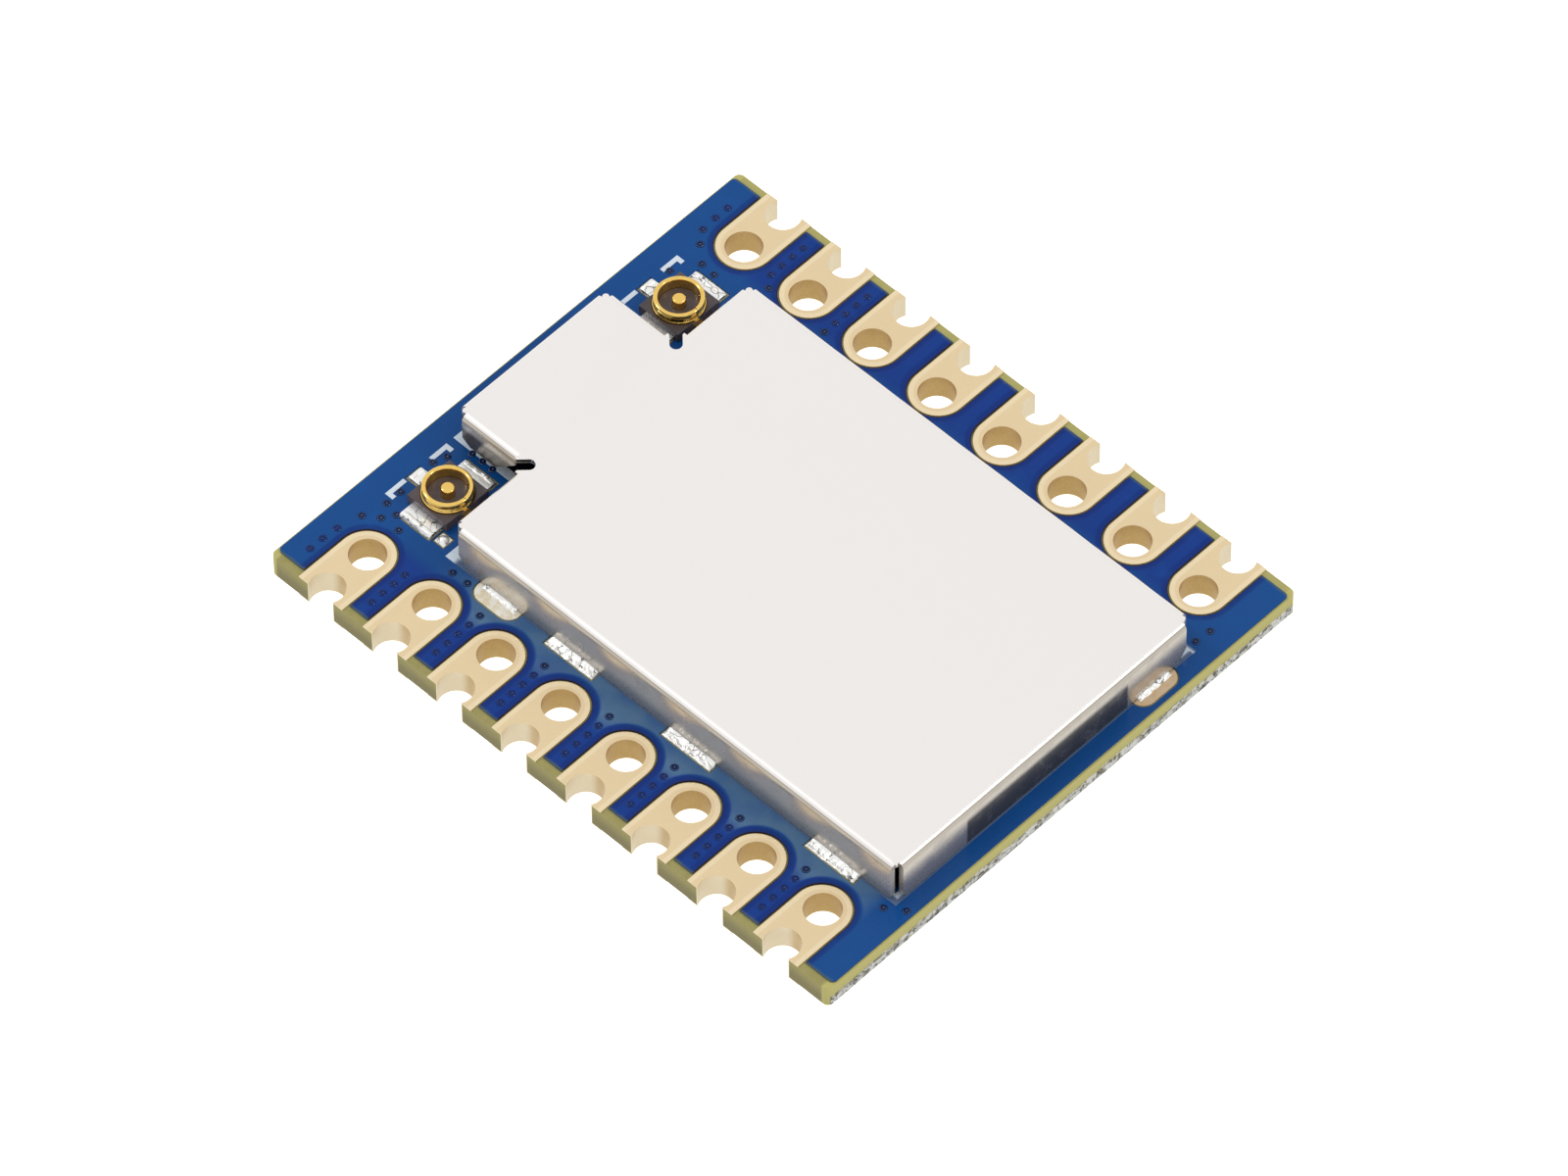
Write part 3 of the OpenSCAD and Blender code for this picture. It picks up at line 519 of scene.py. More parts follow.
def mask_material(settings):
    """Glossy blue mask with fine orange peel, bluer between the pads and dark round their lands, with a
    painted reflection of the can's low-Y wall beside it and painted shade under the can.
    """
    s = Shader("Blue solder mask")
    distance, ax, ay = pad_distance(s)
    x, y, z = s.axes()
    upper_face = s.ramp(z, UPPER_LOW, UPPER_HIGH)

    between = s.times(
        s.ramp(ay, LAND_INNER - 0.31, LAND_INNER + 0.29),
        s.ramp(ax, ROW_HALF - 0.19, ROW_HALF + 0.41, 1.0, 0.0),
    )
    base = s.mix(between, tuple(settings.mask_colour), tuple(settings.mask_pad_colour))

    # Painted reflection of the can's low-Y wall: paler patches in the mask along that wall
    painted_wall_reflection = s.times(
        s.ramp(x, CAN_LOW[0] + 2.5, CAN_LOW[0] + 5.0),
        s.ramp(x, CAN_HIGH[0] - 0.8, CAN_HIGH[0] - 0.2, 1.0, 0.0),
        s.ramp(y, CAN_LOW[1] - 1.58, CAN_LOW[1] - 0.88),
        s.ramp(y, CAN_LOW[1] + 0.12, CAN_LOW[1] + 0.32, 1.0, 0.0),
        s.ramp(distance, 0.24, 0.34),
        s.ramp(s.noise(0.7, 2.0, 0.5), 0.35, 0.6, 0.6, 1.0),
        upper_face,
    )
    base = s.mix(painted_wall_reflection, base, tuple(settings.mask_wall_reflection_colour))

    # Bare laminate shows dark round each land, with a darker line at the land itself
    bare = s.ramp(distance, 0.17, 0.29, 1.0, 0.0)
    base = s.mix(s.times(bare, 0.75), base, tuple(settings.mask_ring_colour))
    cloud = s.ramp(s.noise(0.9, 3.0, 0.6), 0.5, 0.85, 0.0, 0.35)
    base = s.mix(cloud, base, scaled(settings.mask_colour, 1.3))
    base = s.mix(s.ramp(distance, 0.05, 0.1, 0.9, 0.0), base, linear(40, 18, 14))

    # The mask thins to olive at the padded edges
    edge = s.math("ADD", ay, s.times(s.noise(3.0, 3.0, 0.6), 0.12))
    olive = s.ramp(edge, BOARD_HIGH[1] - 0.3, BOARD_HIGH[1] - 0.16, 0.0, 0.75)
    base = s.mix(olive, base, linear(88, 104, 84))

    # Dark where the can shuts the light out
    under_tongue = s.times(
        s.ramp(x, CAN_LOW[0] + 0.2, CAN_LOW[0] + 0.3),
        s.ramp(ay, TONGUE_HALF - 0.35, TONGUE_HALF - 0.25, 1.0, 0.0),
    )
    under_wide_part = s.times(
        s.ramp(x, SHOULDER + 0.09, SHOULDER + 0.19),
        s.ramp(ay, CAN_HIGH[1] - 0.18, CAN_HIGH[1] - 0.08, 1.0, 0.0),
    )
    covered = s.times(
        s.math("MAXIMUM", under_tongue, under_wide_part),
        s.ramp(x, CAN_HIGH[0] - 0.45, CAN_HIGH[0] - 0.35, 1.0, 0.0),
        upper_face,
    )
    base = s.mix(s.times(covered, 0.95), base, linear(22, 16, 12))

    rough = s.ramp(s.noise(3.0, 2.0), 0.3, 0.7, 0.2, 0.32)
    normal = s.bump(s.noise(7.0, 2.0, 0.5), 0.005, 0.4, below=s.bump(bare, -0.012))
    return s.set(color=base, rough=rough, normal=normal, specular=0.16)


def laminate_material(settings):
    """Cut glass laminate: olive and layered, paler at the top, with a snapped score on its ends."""
    s = Shader("Cut laminate")
    x, y, z = s.axes()
    ax = s.math("ABSOLUTE", x)
    tone = tuple(settings.laminate_colour)
    fibres = s.noise(1.0, 4.0, 0.6, stretch=(3.0, 3.0, 26.0))
    specks = s.noise(9.0, 3.0, 0.7)
    base = s.mix(s.ramp(z, 0.25, 0.85), scaled(tone, 0.66, 0.64, 0.82), tone)
    base = s.mix(s.ramp(fibres, 0.42, 0.68, 0.0, 0.35), base, scaled(tone, 0.72))
    base = s.mix(s.ramp(specks, 0.6, 0.75, 0.0, 0.35), base, scaled(tone, 1.5))

    # A paler strip of the upper face, which the mask leaves free at the edges
    rim = s.math(
        "MAXIMUM",
        s.ramp(ax, BOARD_HIGH[0] - 0.3, BOARD_HIGH[0] - 0.2),
        s.ramp(y, BOARD_HIGH[1] - 0.4, BOARD_HIGH[1] - 0.3, 0.0, 0.5),
    )
    base = s.mix(s.times(rim, 0.7), base, linear(198, 190, 114))

    # The lower half of the plain ends broke off rough and white along a score
    ragged = s.math("ADD", z, s.times(s.noise(2.5, 3.0), 0.16))
    on_end = s.ramp(ax, BOARD_HIGH[0] - 0.03, BOARD_HIGH[0] - 0.01)
    snapped = s.times(on_end, s.ramp(ragged, 0.44, 0.56, 1.0, 0.0))
    chips = s.ramp(s.noise(5.0, 4.0, 0.75), 0.46, 0.6)
    broken = s.mix(chips, linear(222, 222, 216), linear(96, 92, 78))
    dashes = s.noise(1.0, 3.0, 0.6, stretch=(1.6, 1.6, 14.0))
    broken = s.mix(s.ramp(dashes, 0.56, 0.66, 0.0, 0.85), broken, linear(44, 42, 40))
    base = s.mix(snapped, base, broken)

    normal = s.bump(fibres, 0.02, 0.6)
    normal = s.bump(s.times(snapped, s.noise(6.0, 4.0, 0.7)), 0.12, below=normal)
    return s.set(color=base, rough=0.62, normal=normal, specular=0.35)


def pad_gold_material(settings):
    """Satin gold plating with a faint grain and a painted highlight round each land's edge, deeper in
    the holes than on the lands by painted shade.
    """
    s = Shader("Pad gold")
    x, y, z = s.axes()
    tone = tuple(settings.gold_colour)
    grain = s.noise(14.0, 3.0, 0.6)
    distance, _, _ = pad_distance(s)
    # Painted highlight: paler gold in a band just inside the edge of each land, as off a rounded rim
    base = s.mix(s.ramp(distance, -0.17, -0.13), tone, scaled(tone, 1.08, 1.13, 1.2))

    # Walls between the two land faces, with painted shade: tan in the holes, and in the notches paler
    # at the sides with a painted tan shade in the middle
    along = s.math("SUBTRACT", s.math("FLOORED_MODULO", x, PITCH), PITCH / 2 + 0.06)
    painted_middle_shade = s.ramp(s.math("ABSOLUTE", along), 0.05, 0.36, 1.0, 0.0)
    painted_notch_shading = s.mix(painted_middle_shade, scaled(tone, 0.94, 1.04, 1.22), scaled(tone, 0.74, 0.7, 0.62))
    in_notch = s.ramp(s.math("ABSOLUTE", y), BOARD_HIGH[1] - 0.95, BOARD_HIGH[1] - 0.85)
    painted_wall_tone = s.mix(in_notch, scaled(tone, 0.68, 0.58, 0.34), painted_notch_shading)
    wall = s.times(
        s.ramp(z, LAND_TOP - 0.03, LAND_TOP - 0.005, 1.0, 0.0), s.ramp(z, 0.005, 0.03)
    )
    base = s.mix(wall, base, painted_wall_tone)

    base = s.mix(s.ramp(grain, 0.35, 0.75, 0.0, 0.2), base, scaled(tone, 0.9))
    rough = s.ramp(s.noise(2.0, 3.0), 0.3, 0.7, 0.36, 0.46)
    return s.set(color=base, metal=0.9, rough=rough, normal=s.bump(grain, 0.004, 0.4))


def can_material(settings):
    """Tinned sheet: an even satin top, a painted dark line of shade at the bends, and duller scuffed
    walls that darken downwards by painted reflection and painted shade.
    """
    s = Shader("Tinned can sheet")
    x, y, z = s.axes()
    top = CAN_HIGH[2]
    tone = tuple(settings.metal_colour)
    grain = s.noise(20.0, 3.0, 0.6)
    scuffs = s.noise(1.6, 5.0, 0.7)
    base = s.mix(s.ramp(grain, 0.3, 0.8, 0.0, 0.12), tone, scaled(tone, 0.92))

    # Painted reflection of the board: the walls darken downwards, sooner at the high-X end, and painted
    # shade makes them darkest on the tongue
    wall = s.ramp(z, top - 0.125, top - 0.08, 1.0, 0.0)
    drop = s.ramp(x, CAN_HIGH[0] - 0.12, CAN_HIGH[0] - 0.05, 0.0, 0.35)
    high = s.ramp(s.math("SUBTRACT", z, drop), MASK_TOP + 0.05, MASK_TOP + 0.85)
    painted_wall_tone = s.mix(high, scaled(tone, 0.5, 0.48, 0.45), scaled(tone, 0.76, 0.72, 0.65))
    # Painted shade on the tongue's walls, below their upper part
    painted_tongue_shade = s.times(
        s.ramp(s.math("ABSOLUTE", y), TONGUE_HALF + 0.05, TONGUE_HALF + 0.15, 1.0, 0.0),
        s.ramp(z, top - 0.6, top - 0.35, 1.0, 0.0),
    )
    painted_wall_tone = s.mix(s.times(painted_tongue_shade, 0.85), painted_wall_tone, scaled(tone, 0.06))
    # Painted reflection: a darker beige band high on the walls, just below the bend
    fold_shade = s.times(wall, s.ramp(z, top - 0.3, top - 0.16))
    painted_wall_tone = s.mix(s.times(fold_shade, 0.8), painted_wall_tone, scaled(tone, 0.5, 0.48, 0.42))
    base = s.mix(wall, base, painted_wall_tone)

    # Painted shade: a dark line along the bend, where it meets the walls
    crease_shade = s.times(
        s.ramp(z, top - 0.115, top - 0.095), s.ramp(z, top - 0.08, top - 0.065, 1.0, 0.0)
    )
    base = s.mix(s.times(crease_shade, 0.85), base, scaled(tone, 0.42, 0.36, 0.27))
    base = s.mix(s.times(wall, s.ramp(scuffs, 0.5, 0.75, 0.0, 0.4)), base, scaled(tone, 0.4))

    bend = s.ramp(z, top - 0.03, top - 0.004, 1.0, 0.0)
    scuffed = s.times(wall, s.ramp(scuffs, 0.4, 0.7, 0.0, 0.1))
    rough = s.math("ADD", s.ramp(bend, 0.0, 1.0, 0.42, 0.2), scuffed)
    metal = s.math("SUBTRACT", 1.0, s.times(wall, s.ramp(high, 0.0, 1.0, 0.24, 0.38)))
    normal = s.bump(grain, 0.0015, 0.35)
    normal = s.bump(s.times(s.noise(1.3, 2.0), bend), 0.02, 0.3, below=normal)
    return s.set(color=base, metal=metal, rough=rough, normal=normal, specular=0.2)


def solder_material(settings):
    """Bright solder with painted shade in thin creases, where a noise passes through its middle value,
    and in its pits.
    """
    s = Shader("Rough bright solder")
    tone = tuple(settings.solder_colour)
    pits = s.noise(7.0, 5.0, 0.75)
    flow = s.noise(2.4, 3.0, 0.6)
    fold_shade = s.math("ABSOLUTE", s.math("SUBTRACT", s.noise(2.0, 2.0, 0.5), 0.55))
    crease_shade = s.ramp(fold_shade, 0.004, 0.016, 0.85, 0.0)
    # Painted shade: darker in the pits and along thin creases
    base = s.mix(s.ramp(pits, 0.24, 0.36, 0.75, 0.0), tone, scaled(tone, 0.3))
    base = s.mix(crease_shade, base, linear(62, 58, 56))
    rough = s.ramp(flow, 0.35, 0.65, 0.24, 0.4)
    return s.set(color=base, metal=0.75, rough=rough, normal=s.bump(pits, 0.008, 0.5))


def tin_material():
    """Flat tinned copper of the lands, browner at the can's high-X end."""
    s = Shader("Tinned land")
    x, _, _ = s.axes()
    grain = s.noise(5.0, 3.0, 0.6)
    base = s.mix(s.ramp(grain, 0.4, 0.65), linear(255, 252, 242), linear(238, 226, 196))
    brown = s.ramp(x, CAN_HIGH[0] - 0.2, CAN_HIGH[0], 0.0, 0.75)
    base = s.mix(brown, base, linear(208, 172, 122))
    return s.set(color=base, metal=0.3, rough=0.32, normal=s.bump(grain, 0.006, 0.4))


def bright_gold_material(settings):
    """Polished gold plating with a trace of drawing marks round the ring."""
    s = Shader("Polished connector gold")
    tone = tuple(settings.gold_colour)
    marks = s.noise(1.0, 3.0, 0.6, stretch=(3.0, 3.0, 40.0))
    cloud = s.ramp(s.noise(5.0, 2.0), 0.35, 0.7, 0.0, 0.3)
    base = s.mix(cloud, tone, scaled(tone, 0.96, 0.82, 0.6))
    return s.set(color=base, metal=1.0, rough=0.14, normal=s.bump(marks, 0.002, 0.3))


def plastic_material(name, tone, roughness):
    """Moulded plastic with a fine matt skin."""
    s = Shader(name)
    skin = s.noise(26.0, 3.0, 0.6)
    cloud = s.ramp(s.noise(2.2, 2.0), 0.3, 0.7)
    base = s.mix(cloud, scaled(tone, 0.82), scaled(tone, 1.12))
    return s.set(color=base, rough=roughness, normal=s.bump(skin, 0.004, 0.5), specular=0.4)


def metal_material(name, tone, roughness):
    """Plain metal with a fine grain, for parts sealed inside."""
    s = Shader(name)
    grain = s.noise(12.0, 3.0, 0.6)
    base = s.mix(s.ramp(grain, 0.3, 0.7), scaled(tone, 0.85), tone)
    return s.set(color=base, metal=1.0, rough=roughness, normal=s.bump(grain, 0.004, 0.4))


def legend_material(settings):
    """White print, thin where the mask shows through, and dark in the shade of the can's walls."""
    s = Shader("White legend print")
    tone = tuple(settings.legend_colour)
    x, y, _ = s.axes()
    thin = s.noise(4.0, 4.0, 0.7)
    worn = s.ramp(thin, 0.5, 0.75, 0.0, 0.45)
    base = s.mix(worn, tone, scaled(tone, 0.5, 0.62, 0.8))
    long_sides = s.times(
        s.ramp(s.math("ABSOLUTE", y), CAN_HIGH[1] - 0.08, CAN_HIGH[1] + 0.02),
        s.ramp(x, SHOULDER + 0.09, SHOULDER + 0.29),
    )
    high_x_end = s.times(
        s.ramp(x, CAN_HIGH[0] - 0.15, CAN_HIGH[0] - 0.05),
        s.ramp(y, CAN_HIGH[1] - 0.13, CAN_HIGH[1] - 0.03, 1.0, 0.0),
    )
    beside_can = s.math("MAXIMUM", long_sides, high_x_end)
    base = s.mix(s.times(beside_can, 0.9), base, linear(44, 76, 120))
    return s.set(color=base, rough=0.5, normal=s.bump(thin, 0.006, 0.5), specular=0.3)


def dress(nodes, material):
    """Gives carried-over CAD nodes a material."""
    for node in nodes:
        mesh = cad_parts[node].data
        mesh.materials.clear()
        mesh.materials.append(material)


# Pieces


class MODULE_OT_board(Operator):
    """Finishes the laminate, masks, pads, legend and via barrels"""

    bl_idname = "module.board"
    bl_label = "Board finishes"

    def execute(self, context):
        settings = context.scene.module_board
        dress(["board_core"], laminate_material(settings))
        dress(["solder_mask_top", "solder_mask_bottom"], mask_material(settings))
        dress(["legend_top"], legend_material(settings))
        dress(["via_barrels"], metal_material("Copper barrel", linear(190, 120, 80), 0.35))
        dress(PAD_NODES, pad_gold_material(settings))
        return {"FINISHED"}


class MODULE_OT_via_covers(Operator):
    """Mask drawn down into each via, with a low lip round it"""

    bl_idname = "module.via_covers"
    bl_label = "Via covers"

    def execute(self, context):
        settings = context.scene.module_board
        radius, rise = settings.via_radius / MM, settings.via_rise / MM
        s = Shader("Mask over vias")
        tone = tuple(settings.mask_ring_colour)
        _, y, z = s.axes()
        by_pads = s.ramp(s.math("ABSOLUTE", y), 7.0, 7.5)
        lip_tone = s.mix(by_pads, scaled(tone, 0.3), scaled(tone, 0.62))
        # Painted highlight: a lighter blue in the middle of each via's bowl, inside a darker lip
        highlight_tone = s.mix(by_pads, linear(76, 120, 172), linear(28, 76, 150))
        base = MASK_TOP + 0.001
        level = s.math("SUBTRACT", z, base)
        # Painted highlight band round the bottom of the bowl
        via_highlight = s.times(
            s.ramp(level, rise * 0.3, rise * 0.37), s.ramp(level, rise * 0.42, rise * 0.6, 1.0, 0.0)
        )
        s.set(color=s.mix(via_highlight, lip_tone, highlight_tone), rough=0.12, specular=0.2)

        # From the outer edge t=0 to t=1/2 a lip, rise sin^2(pi t), and from there to the middle t=1
        # less a bowl, 0.62 rise sin^2(pi (t - 1/2)); below the base a plug closes the piece
        t = np.linspace(0, 1, 21)
        lip = rise * np.sin(np.clip(t, 0, 0.5) * math.pi) ** 2
        bowl = rise * 0.62 * np.sin(np.clip(t - 0.5, 0, 0.5) * math.pi) ** 2
        profile = np.stack([radius * (1 - t), lip - bowl], -1)
        profile = np.concatenate([profile, [[0.0, -0.045], [radius * 0.98, -0.045]]])
        parts = []
        for box in islands("via_barrels"):
            x, y, _ = middle(box)
            parts.append(revolved(profile, (x, y, base), 20))
        new_object("via_covers", parts, s.material, smooth=60)
        return {"FINISHED"}


class MODULE_OT_can(Operator):
    """The folded can with the cut edges of its sheet slightly rounded"""

    bl_idname = "module.can"
    bl_label = "Shield can"

    def execute(self, context):
        settings = context.scene.module_can
        sheet = can_material(settings)
        welded_copy("shield_can", "shield_can_sheet", settings.edge_bevel, sheet)
        dress(["can_lands"], tin_material())
        return {"FINISHED"}


def patch_grid(width, low_y, high_y, across):
    """Places x and y on a grid that is centred on x=0, with 25 steps along Y."""
    places = np.linspace(-width / 2, width / 2, across), np.linspace(low_y, high_y, 25)
    return np.meshgrid(*places, indexing="ij")


def joint_patch(width, reach, height, lumps, seed):
    """One solder joint, its wall face on y=0 and its reach towards -Y.

    Height over (x, y) is lip + (top - lip) t^2.6, with t from 0 at the outer edge to 1 at the wall,
    plus lattice noise. It falls off near the two ends by the fourth power of the place along the joint.
    """
    x, y = patch_grid(width, -reach, 0, 61)
    t = 1 + y / reach
    end = np.abs(x) / (width / 2)
    top = height * (1 - 0.35 * end**4) * (1 + 0.18 * lattice_noise(x, 0 * x, 0.3, seed))
    lip = 0.035
    z = lip + (top - lip) * t**2.6
    rough = lattice_noise(x + 9, y + 9, 0.09, seed + 1) + 0.6 * lattice_noise(x, y, 0.045, seed + 2)
    z = z + lumps * rough * (1 - t**4) * 0.6
    z = z * np.clip((1 - end) * width / 2 / 0.04, 0.25, 1) * np.clip(t * reach / 0.03, 0.3, 1)
    ragged = 0.02 * lattice_noise(x + 3, 0 * x, 0.12, seed + 3) * (1 - t)
    return raised_patch(x, y + ragged, np.maximum(z, 0.008), LAND_TOP)


class MODULE_OT_can_solder(Operator):
    """Rough bright solder along the can's feet, drawn up its walls"""

    bl_idname = "module.can_solder"
    bl_label = "Can solder"

    def execute(self, context):
        settings = context.scene.module_can
        lumps = settings.solder_lumps / MM
        parts = []
        for k, (low, high) in enumerate(islands("can_solder")):
            x, y, _ = middle((low, high))
            # The side of the can that the joint is on, as quarter turns from the low-Y side
            outside = [CAN_LOW[1] - y, x - CAN_HIGH[0], y - CAN_HIGH[1], CAN_LOW[0] - x]
            turns = int(np.argmax(outside))
            size = high - low
            width, reach = (size[0], size[1]) if turns in (0, 2) else (size[1], size[0])
            foot = [(x, high[1]), (low[0], y), (x, low[1]), (high[0], y)][turns]
            points, faces = joint_patch(width, reach, size[2], lumps, 10 + 7 * k)
            parts.append((turned(points, turns, (*foot, 0)), faces))
        material = solder_material(settings)
        piece = new_object("can_joint_solder", parts, material, smooth=80)
        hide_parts("can_solder")
        return {"FINISHED"}


# The connectors' ring, contact and legs, with places from the connector's middle
RING_OUTER, RING_INNER, COLLAR = 0.75, 0.605, 0.775
CONTACT = 0.205
LEG_THICK = 0.1
SIDE_LEG_HALF, SIDE_LEG_START, SIDE_LEG_END = 0.6, 0.80, 1.27
BACK_LEG_HALF, BACK_LEG_START, BACK_LEG_END = 0.25, 0.72, 1.28
TAIL_HALF, TAIL_START, TAIL_END = 0.15, 0.15, 1.15


def ring_profile(groove, seat, top):
    """Closed section of the ground ring: foot collar, catch groove, bead and rounded rim, as (r, z).

    The outer wall is RING_OUTER less a groove shaped as a raised cosine, from the collar up to the
    bead. The rim is half an ellipse.
    """
    z = np.linspace(seat + 0.07, top - 0.07, 14)
    t = np.clip((z - z[0]) / (0.8 * (z[-1] - z[0])), 0, 1)
    wall = RING_OUTER - groove * (0.5 - 0.5 * np.cos(2 * math.pi * t))
    outer = np.stack([wall, z], -1)
    a = np.linspace(0, math.pi, 13)
    half = (RING_OUTER - RING_INNER) / 2
    rim = np.stack([RING_INNER + half + half * np.cos(a), top - 0.055 + 0.055 * np.sin(a)], -1)
    bottom = seat - 0.09
    inner = [[RING_INNER, top - 0.1], [RING_INNER, seat], [RING_INNER, bottom]]
    foot = [
        [0.70, bottom],
        [COLLAR, bottom],
        [COLLAR, seat + 0.04],
        [COLLAR - 0.005, seat + 0.052],
        [COLLAR - 0.018, seat + 0.06],
    ]
    return np.concatenate([outer, rim, inner, foot])


def contact_profile(top):
    """Section of the centre contact, a pin with a rounded and slightly domed tip, as (r, z)."""
    a = np.linspace(0, math.pi / 2, 9)
    edge = 0.06
    tip = np.stack([CONTACT - edge + edge * np.cos(a), top - 0.068 + edge * np.sin(a)], -1)
    shaft = [[0.0, 0.06], [CONTACT, 0.06], [CONTACT, 0.3]]
    return np.concatenate([shaft, tip, [[0.07, top - 0.002], [0.0, top]]])


class MODULE_OT_antennas(Operator):
    """Rings, contacts, insulators and legs of the two antenna connectors"""

    bl_idname = "module.antennas"
    bl_label = "Antenna connectors"

    def execute(self, context):
        settings = context.scene.module_antenna
        gold = bright_gold_material(settings)
        plastic = plastic_material("Insulator plastic", tuple(settings.plastic_colour), 0.38)
        tin = solder_material(context.scene.module_can)
        groove, steps = settings.groove_depth / MM, settings.steps_round
        for name in ("a", "b"):
            low, high = cad_box(f"antenna_{name}_insulator")
            centre = np.array([*middle((low, high))[:2], MASK_TOP])
            seat = high[2] - MASK_TOP
            top = cad_box(f"antenna_{name}_ground_shell")[1][2] - MASK_TOP
            tip_top = cad_box(f"antenna_{name}_contact")[1][2] - MASK_TOP
            ring = revolved(ring_profile(groove, seat, top), centre, steps, gap=0.03)
            piece = new_object(f"antenna_{name}_ring", [ring], gold, smooth=50)
            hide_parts(f"antenna_{name}_ground_shell")
            spans = (
                (-SIDE_LEG_HALF, -SIDE_LEG_END, SIDE_LEG_HALF, -SIDE_LEG_START),
                (-SIDE_LEG_HALF, SIDE_LEG_START, SIDE_LEG_HALF, SIDE_LEG_END),
                (-BACK_LEG_END, -BACK_LEG_HALF, -BACK_LEG_START, BACK_LEG_HALF),
                (TAIL_START, -TAIL_HALF, TAIL_END, TAIL_HALF),
            )
            *legs, tail = [
                rounded_block(centre + [x0, y0, 0], centre + [x1, y1, LEG_THICK], 0.02)
                for x0, y0, x1, y1 in spans
            ]
            new_object(f"antenna_{name}_legs", legs, tin)
            pin = revolved(contact_profile(tip_top), centre, 48)
            piece = new_object(f"antenna_{name}_pin", [pin, tail], gold)
            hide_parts(f"antenna_{name}_contact")
            moulding = f"antenna_{name}_moulding"
            welded_copy(f"antenna_{name}_insulator", moulding, 0.025 * MM, plastic)
        return {"FINISHED"}


def leg_patch(width, reach, lumps, seed):
    """Solder over a leg's end, which lies at y=0 with the land running towards -Y.

    Height falls from the leg's top to the land as cos^0.9 of the way out, and a little towards both
    ends, plus lattice noise. The solder runs up on the leg by its back, and thins out there.
    """
    back = 0.2
    x, y = patch_grid(width, -reach, back, 41)
    out = np.clip(-y / reach, 0, 1)
    end = np.abs(x) / (width / 2)
    z = 0.135 * np.cos(out * math.pi / 2) ** 0.9 * (1 - 0.3 * end**6)
    noise = lattice_noise(x + 5, y, 0.22, seed) + 0.5 * lattice_noise(x, y + 4, 0.1, seed + 1)
    z = z + lumps * noise * (1 - end**4)
    z = z * np.clip((back - y) / 0.12, 0, 1) ** 0.5
    return raised_patch(x, y, np.maximum(z, 0.012), LAND_TOP)


class MODULE_OT_antenna_solder(Operator):
    """Bright solder over the connectors' legs, and the small dome on the test land"""

    bl_idname = "module.antenna_solder"
    bl_label = "Connector solder"

    def execute(self, context):
        settings = context.scene.module_can
        material = solder_material(settings)
        lumps = settings.solder_lumps / MM * 0.7
        # Quarter turns from -Y, half width and end of each leg and of the contact's tail
        ends = (
            (0, SIDE_LEG_HALF, SIDE_LEG_END),
            (2, SIDE_LEG_HALF, SIDE_LEG_END),
            (3, BACK_LEG_HALF, BACK_LEG_END),
            (1, TAIL_HALF, TAIL_END),
        )
        for k, name in enumerate(("a", "b")):
            cx, cy, _ = middle(cad_box(f"antenna_{name}_insulator"))
            parts = []
            for seed, (turns, half, end) in enumerate(ends, 1):
                points, faces = leg_patch(2 * half, 0.1, lumps, 100 * k + 10 * seed)
                points = points + [0, -end, 0]
                parts.append((turned(points, turns, (cx, cy, 0)), faces))
            if name == "a":
                # Solder dome on the test land: height 0.11 sin^0.8 of the way in from radius 0.18
                t = np.linspace(0, 1, 9)
                dome = np.stack([0.18 * (1 - t), 0.11 * np.sin(t * math.pi / 2) ** 0.8], -1)
                parts.append(revolved(dome, (cx + 0.91, cy - 1.11, LAND_TOP), 24))
            piece = new_object(f"antenna_{name}_leg_solder", parts, material, smooth=70)
            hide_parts(f"antenna_{name}_solder")
        return {"FINISHED"}


class MODULE_OT_inside(Operator):
    """Finishes of the chips and passives sealed under the can"""

    bl_idname = "module.inside"
    bl_label = "Parts under the can"

    def execute(self, context):
        black = plastic_material("Chip moulding", linear(46, 46, 48), 0.5)
        dress(["transceiver_chip", "low_band_switch", "high_band_switch", "chip_resistors"], black)
        lid = metal_material("Lid metal", linear(214, 210, 200), 0.3)
        dress(["reference_oscillator", "watch_crystal"], lid)
        dress(["power_inductor"], plastic_material("Ferrite", linear(92, 92, 94), 0.6))
        dress(["antenna_filter"], plastic_material("White ceramic", linear(214, 214, 208), 0.5))
        dress(["chip_capacitors"], plastic_material("Tan ceramic", linear(160, 132, 102), 0.5))
        dress(["chip_inductors"], plastic_material("Blue ceramic", linear(110, 132, 160), 0.5))
        dress(["antenna_a_lands", "antenna_b_lands"], tin_material())
        return {"FINISHED"}


# The stage: the camera's aim, the floor's half side and its depth under the board, the lights' side
AIM = (0.408, -0.371, 0.9)
FLOOR_HALF, FLOOR_DROP = 1500.0, 0.02
LIGHT_SIDE = 45.0

# The floor as the camera sees it; the light that it throws back has settings of its own
SEEN_TONE, SEEN_GLOW = 0.9, 1.2


